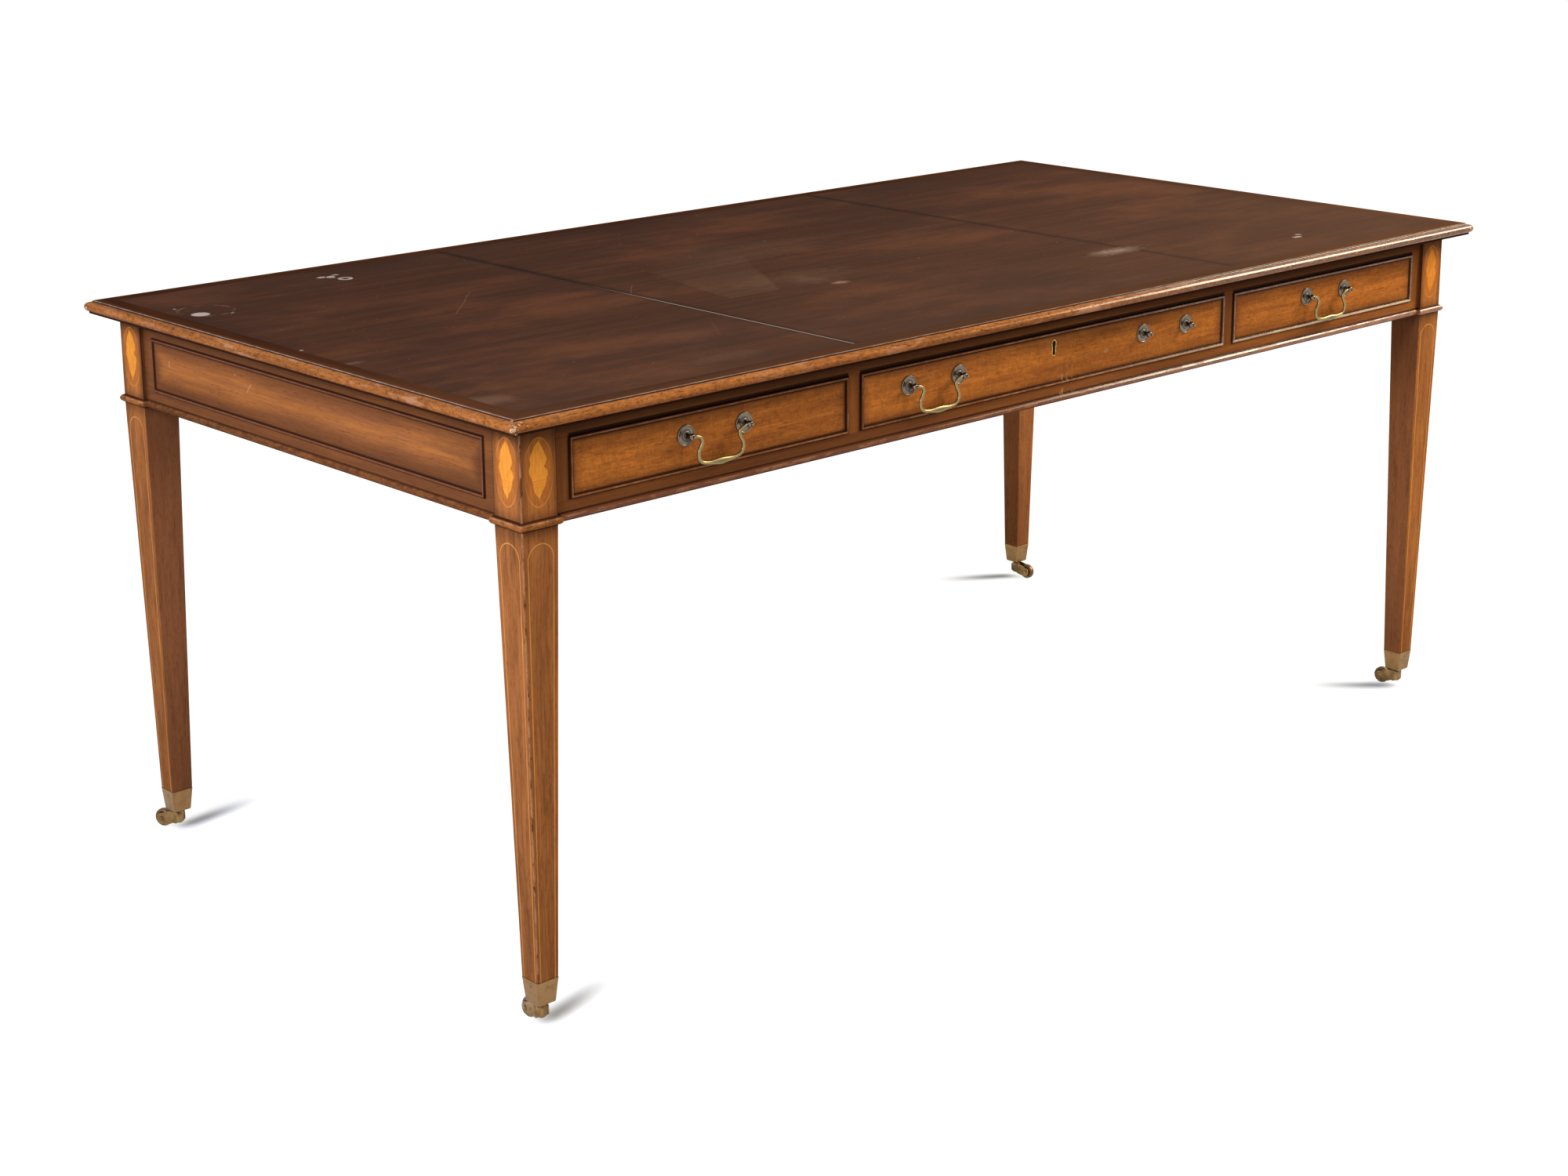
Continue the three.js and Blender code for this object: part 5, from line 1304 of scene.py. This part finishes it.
class DESK_OT_make_casters(bpy.types.Operator):
    """Makes the four casters: square cups, swivelling horns and wheels"""

    bl_idname = "desk.make_casters"
    bl_label = "Casters"

    def execute(self, context):
        brasses, shapes = context.scene.desk_brasses, context.scene.desk_shapes
        cup = metal_paint("cup_brass", brasses.cup, brasses.cup_dark, 0.8, 0.3, 0.012, 0.25)
        horn = metal_paint("horn_brass", brasses.caster, brasses.wheel_dark, None, 0.32, 0.009, patchy=0.5)
        wheel = metal_paint("wheel_bronze", brasses.wheel, brasses.wheel_dark, 0.9, 0.38, 0.006)
        for corner in CORNERS:
            dress(square_cup(corner, shapes), "caster_cup_" + corner, cup)
            dress(softened("caster_horn_" + corner, 0.4 * MM), "caster_horn_" + corner, horn)
            dress(caster_wheel(corner, shapes), "caster_wheel_" + corner, wheel)
        return {"FINISHED"}


# Headings in degrees of the short soft shadows painted along the floor from the casters.
STREAK_HEADINGS = {"front_left": 18.0, "back_left": 9.0, "front_right": 136.0, "back_right": 147.0}


def floor_streaks(x, y):
    """Mask of the short soft shadows painted beside the casters."""
    mask = 0.0
    for corner, heading in STREAK_HEADINGS.items():
        along, aside = along_and_aside(x, y, middle_of("caster_cup_" + corner), math.radians(heading))
        mask = along.rise(-0.02, 0.03) * along.rise(0.165, 0.04) * abs(aside).rise(0.026, 0.0) + mask
    return mask


def floor_paint(studio):
    """Pale floor that looks white where it is lit, keeps the shadows close to what stands on it, and has soft shadows
    painted beside the casters.
    """
    paint = Paint("studio_floor")
    seen = paint.seen()
    x, y, z = paint.place()
    cloud = paint.noise((x, y, z), 0.4, 2.0)
    shade = paint.layers(studio.floor, (cloud * 0.05, (0.5, 0.5, 0.5)), (seen * 0.5, (0.0, 0.0, 0.0)))
    away = distance(x, y).rise(0.8, 3.5)
    # Painted shadows: the glow drops in the streaks beside the casters.
    white = paint.layers((0.9, 0.9, 0.9), (away, (0.95, 0.95, 0.95)), (floor_streaks(x, y), (0.2, 0.2, 0.2)))
    pale = paint.node("ShaderNodeBsdfDiffuse", sockets={"Color": shade, "Roughness": 0.6})
    glow = paint.node("ShaderNodeEmission", sockets={"Color": white, "Strength": seen})
    both = paint.node("ShaderNodeAddShader", sockets={0: pale, 1: glow})
    paint.node("ShaderNodeOutputMaterial", sockets={"Surface": both})
    return paint.owner


def studio_sky(studio):
    """Even light from all round, which the camera and polished surfaces see as white."""
    paint = Paint("studio_sky", "worlds")
    strength = studio.sky + (1.0 - studio.sky) * paint.seen()
    glow = paint.node("ShaderNodeBackground", sockets={"Color": (1, 1, 1, 1), "Strength": strength})
    paint.node("ShaderNodeOutputWorld", sockets={"Surface": glow})
    bpy.context.scene.world = paint.owner


# Place, aim, size and tint of each soft light.
LIGHTS = {
    "left": ((-3.5, -0.8, 2.3), (-0.4, -0.2, 0.5), (1.4, 1.4), (0.92, 1.0, 1.3)),
    "right": ((3.2, -1.6, 2.7), (0.4, -0.2, 0.5), (2.1, 1.5), (1.05, 0.99, 0.76)),
}


def soft_light(name, watts, place, aim, size, tint):
    """A rectangular soft light that looks at a point."""
    lamp = bpy.data.lights.new(name, "AREA")
    lamp.shape = "RECTANGLE"
    lamp.size, lamp.size_y = size
    lamp.energy = watts
    lamp.color = tint
    made = put(name, lamp)
    made.location = place
    made.rotation_euler = (Vector(aim) - Vector(place)).to_track_quat("-Z", "Y").to_euler()


CAMERA_PLACE = (-2.649, -2.792, 1.470)
CAMERA_TURN = (43.193, -14.102, -0.191)
CAMERA_SHIFT = (-0.02, -0.10)


def photo_camera(studio):
    """Camera that sees the desk as the photograph does: looks along its yaw and pitch, then rolls about that line."""
    yaw, pitch, roll = (math.radians(a) for a in CAMERA_TURN)
    ahead = Vector((math.sin(yaw) * math.cos(pitch), math.cos(yaw) * math.cos(pitch), math.sin(pitch)))
    right = Vector((math.cos(yaw), -math.sin(yaw), 0.0))
    up = right.cross(ahead)
    right, up = math.cos(roll) * right + math.sin(roll) * up, math.cos(roll) * up - math.sin(roll) * right
    lens = bpy.data.cameras.new("photo_camera")
    lens.sensor_fit = "HORIZONTAL"
    lens.sensor_width = 36.0
    lens.lens = studio.lens
    lens.shift_x, lens.shift_y = CAMERA_SHIFT
    lens.clip_start, lens.clip_end = 0.05, 200.0
    made = put("photo_camera", lens)
    made.matrix_world = Matrix.Translation(CAMERA_PLACE) @ Matrix((right, up, -ahead)).transposed().to_4x4()
    bpy.context.scene.camera = made


class DESK_OT_make_stage(bpy.types.Operator):
    """Sets up the pale floor, the soft lights, the camera and plain colour management"""

    bl_idname = "desk.make_stage"
    bl_label = "Stage"

    def execute(self, context):
        studio = context.scene.desk_studio
        span = np.linspace(-60.0, 60.0, 9)
        floor = surface("studio_floor", xyz(span[:, None], span, -0.2 * MM))
        floor.data.materials.append(floor_paint(studio))
        for side, light in LIGHTS.items():
            soft_light(side + "_light", getattr(studio, side + "_power"), *light)
        studio_sky(studio)
        photo_camera(studio)
        context.scene.view_settings.view_transform = "Standard"
        return {"FINISHED"}


class VIEW3D_PT_desk(bpy.types.Panel):
    """Buttons that make the desk's pieces"""

    bl_idname = "VIEW3D_PT_desk"
    bl_label = "Writing desk"
    bl_space_type = "VIEW_3D"
    bl_region_type = "UI"
    bl_category = "Desk"

    def draw(self, context):
        for maker in MAKERS:
            self.layout.operator(maker.bl_idname)
        for group in GROUPS:
            box = self.layout.box()
            values = getattr(context.scene, group)
            for name in values.bl_rna.properties.keys():
                if name not in ("rna_type", "name"):
                    box.prop(values, name)


MAKERS = (
    DESK_OT_make_top,
    DESK_OT_make_legs,
    DESK_OT_make_case,
    DESK_OT_make_drawers,
    DESK_OT_make_pulls,
    DESK_OT_make_lock,
    DESK_OT_make_casters,
    DESK_OT_make_stage,
)
GROUPS = {"desk_woods": DeskWoods, "desk_brasses": DeskBrasses, "desk_shapes": DeskShapes, "desk_studio": DeskStudio}


def register():
    for group in GROUPS.values():
        bpy.utils.register_class(group)
    for name, group in GROUPS.items():
        setattr(bpy.types.Scene, name, PointerProperty(type=group))
    for maker in MAKERS:
        bpy.utils.register_class(maker)
    bpy.utils.register_class(VIEW3D_PT_desk)


def unregister():
    bpy.utils.unregister_class(VIEW3D_PT_desk)
    for maker in reversed(MAKERS):
        bpy.utils.unregister_class(maker)
    for name in GROUPS:
        delattr(bpy.types.Scene, name)
    for group in reversed(list(GROUPS.values())):
        bpy.utils.unregister_class(group)


def main():
    register()
    for maker in MAKERS:
        group, name = maker.bl_idname.split(".")
        getattr(getattr(bpy.ops, group), name)()


if __name__ == "__main__":
    main()
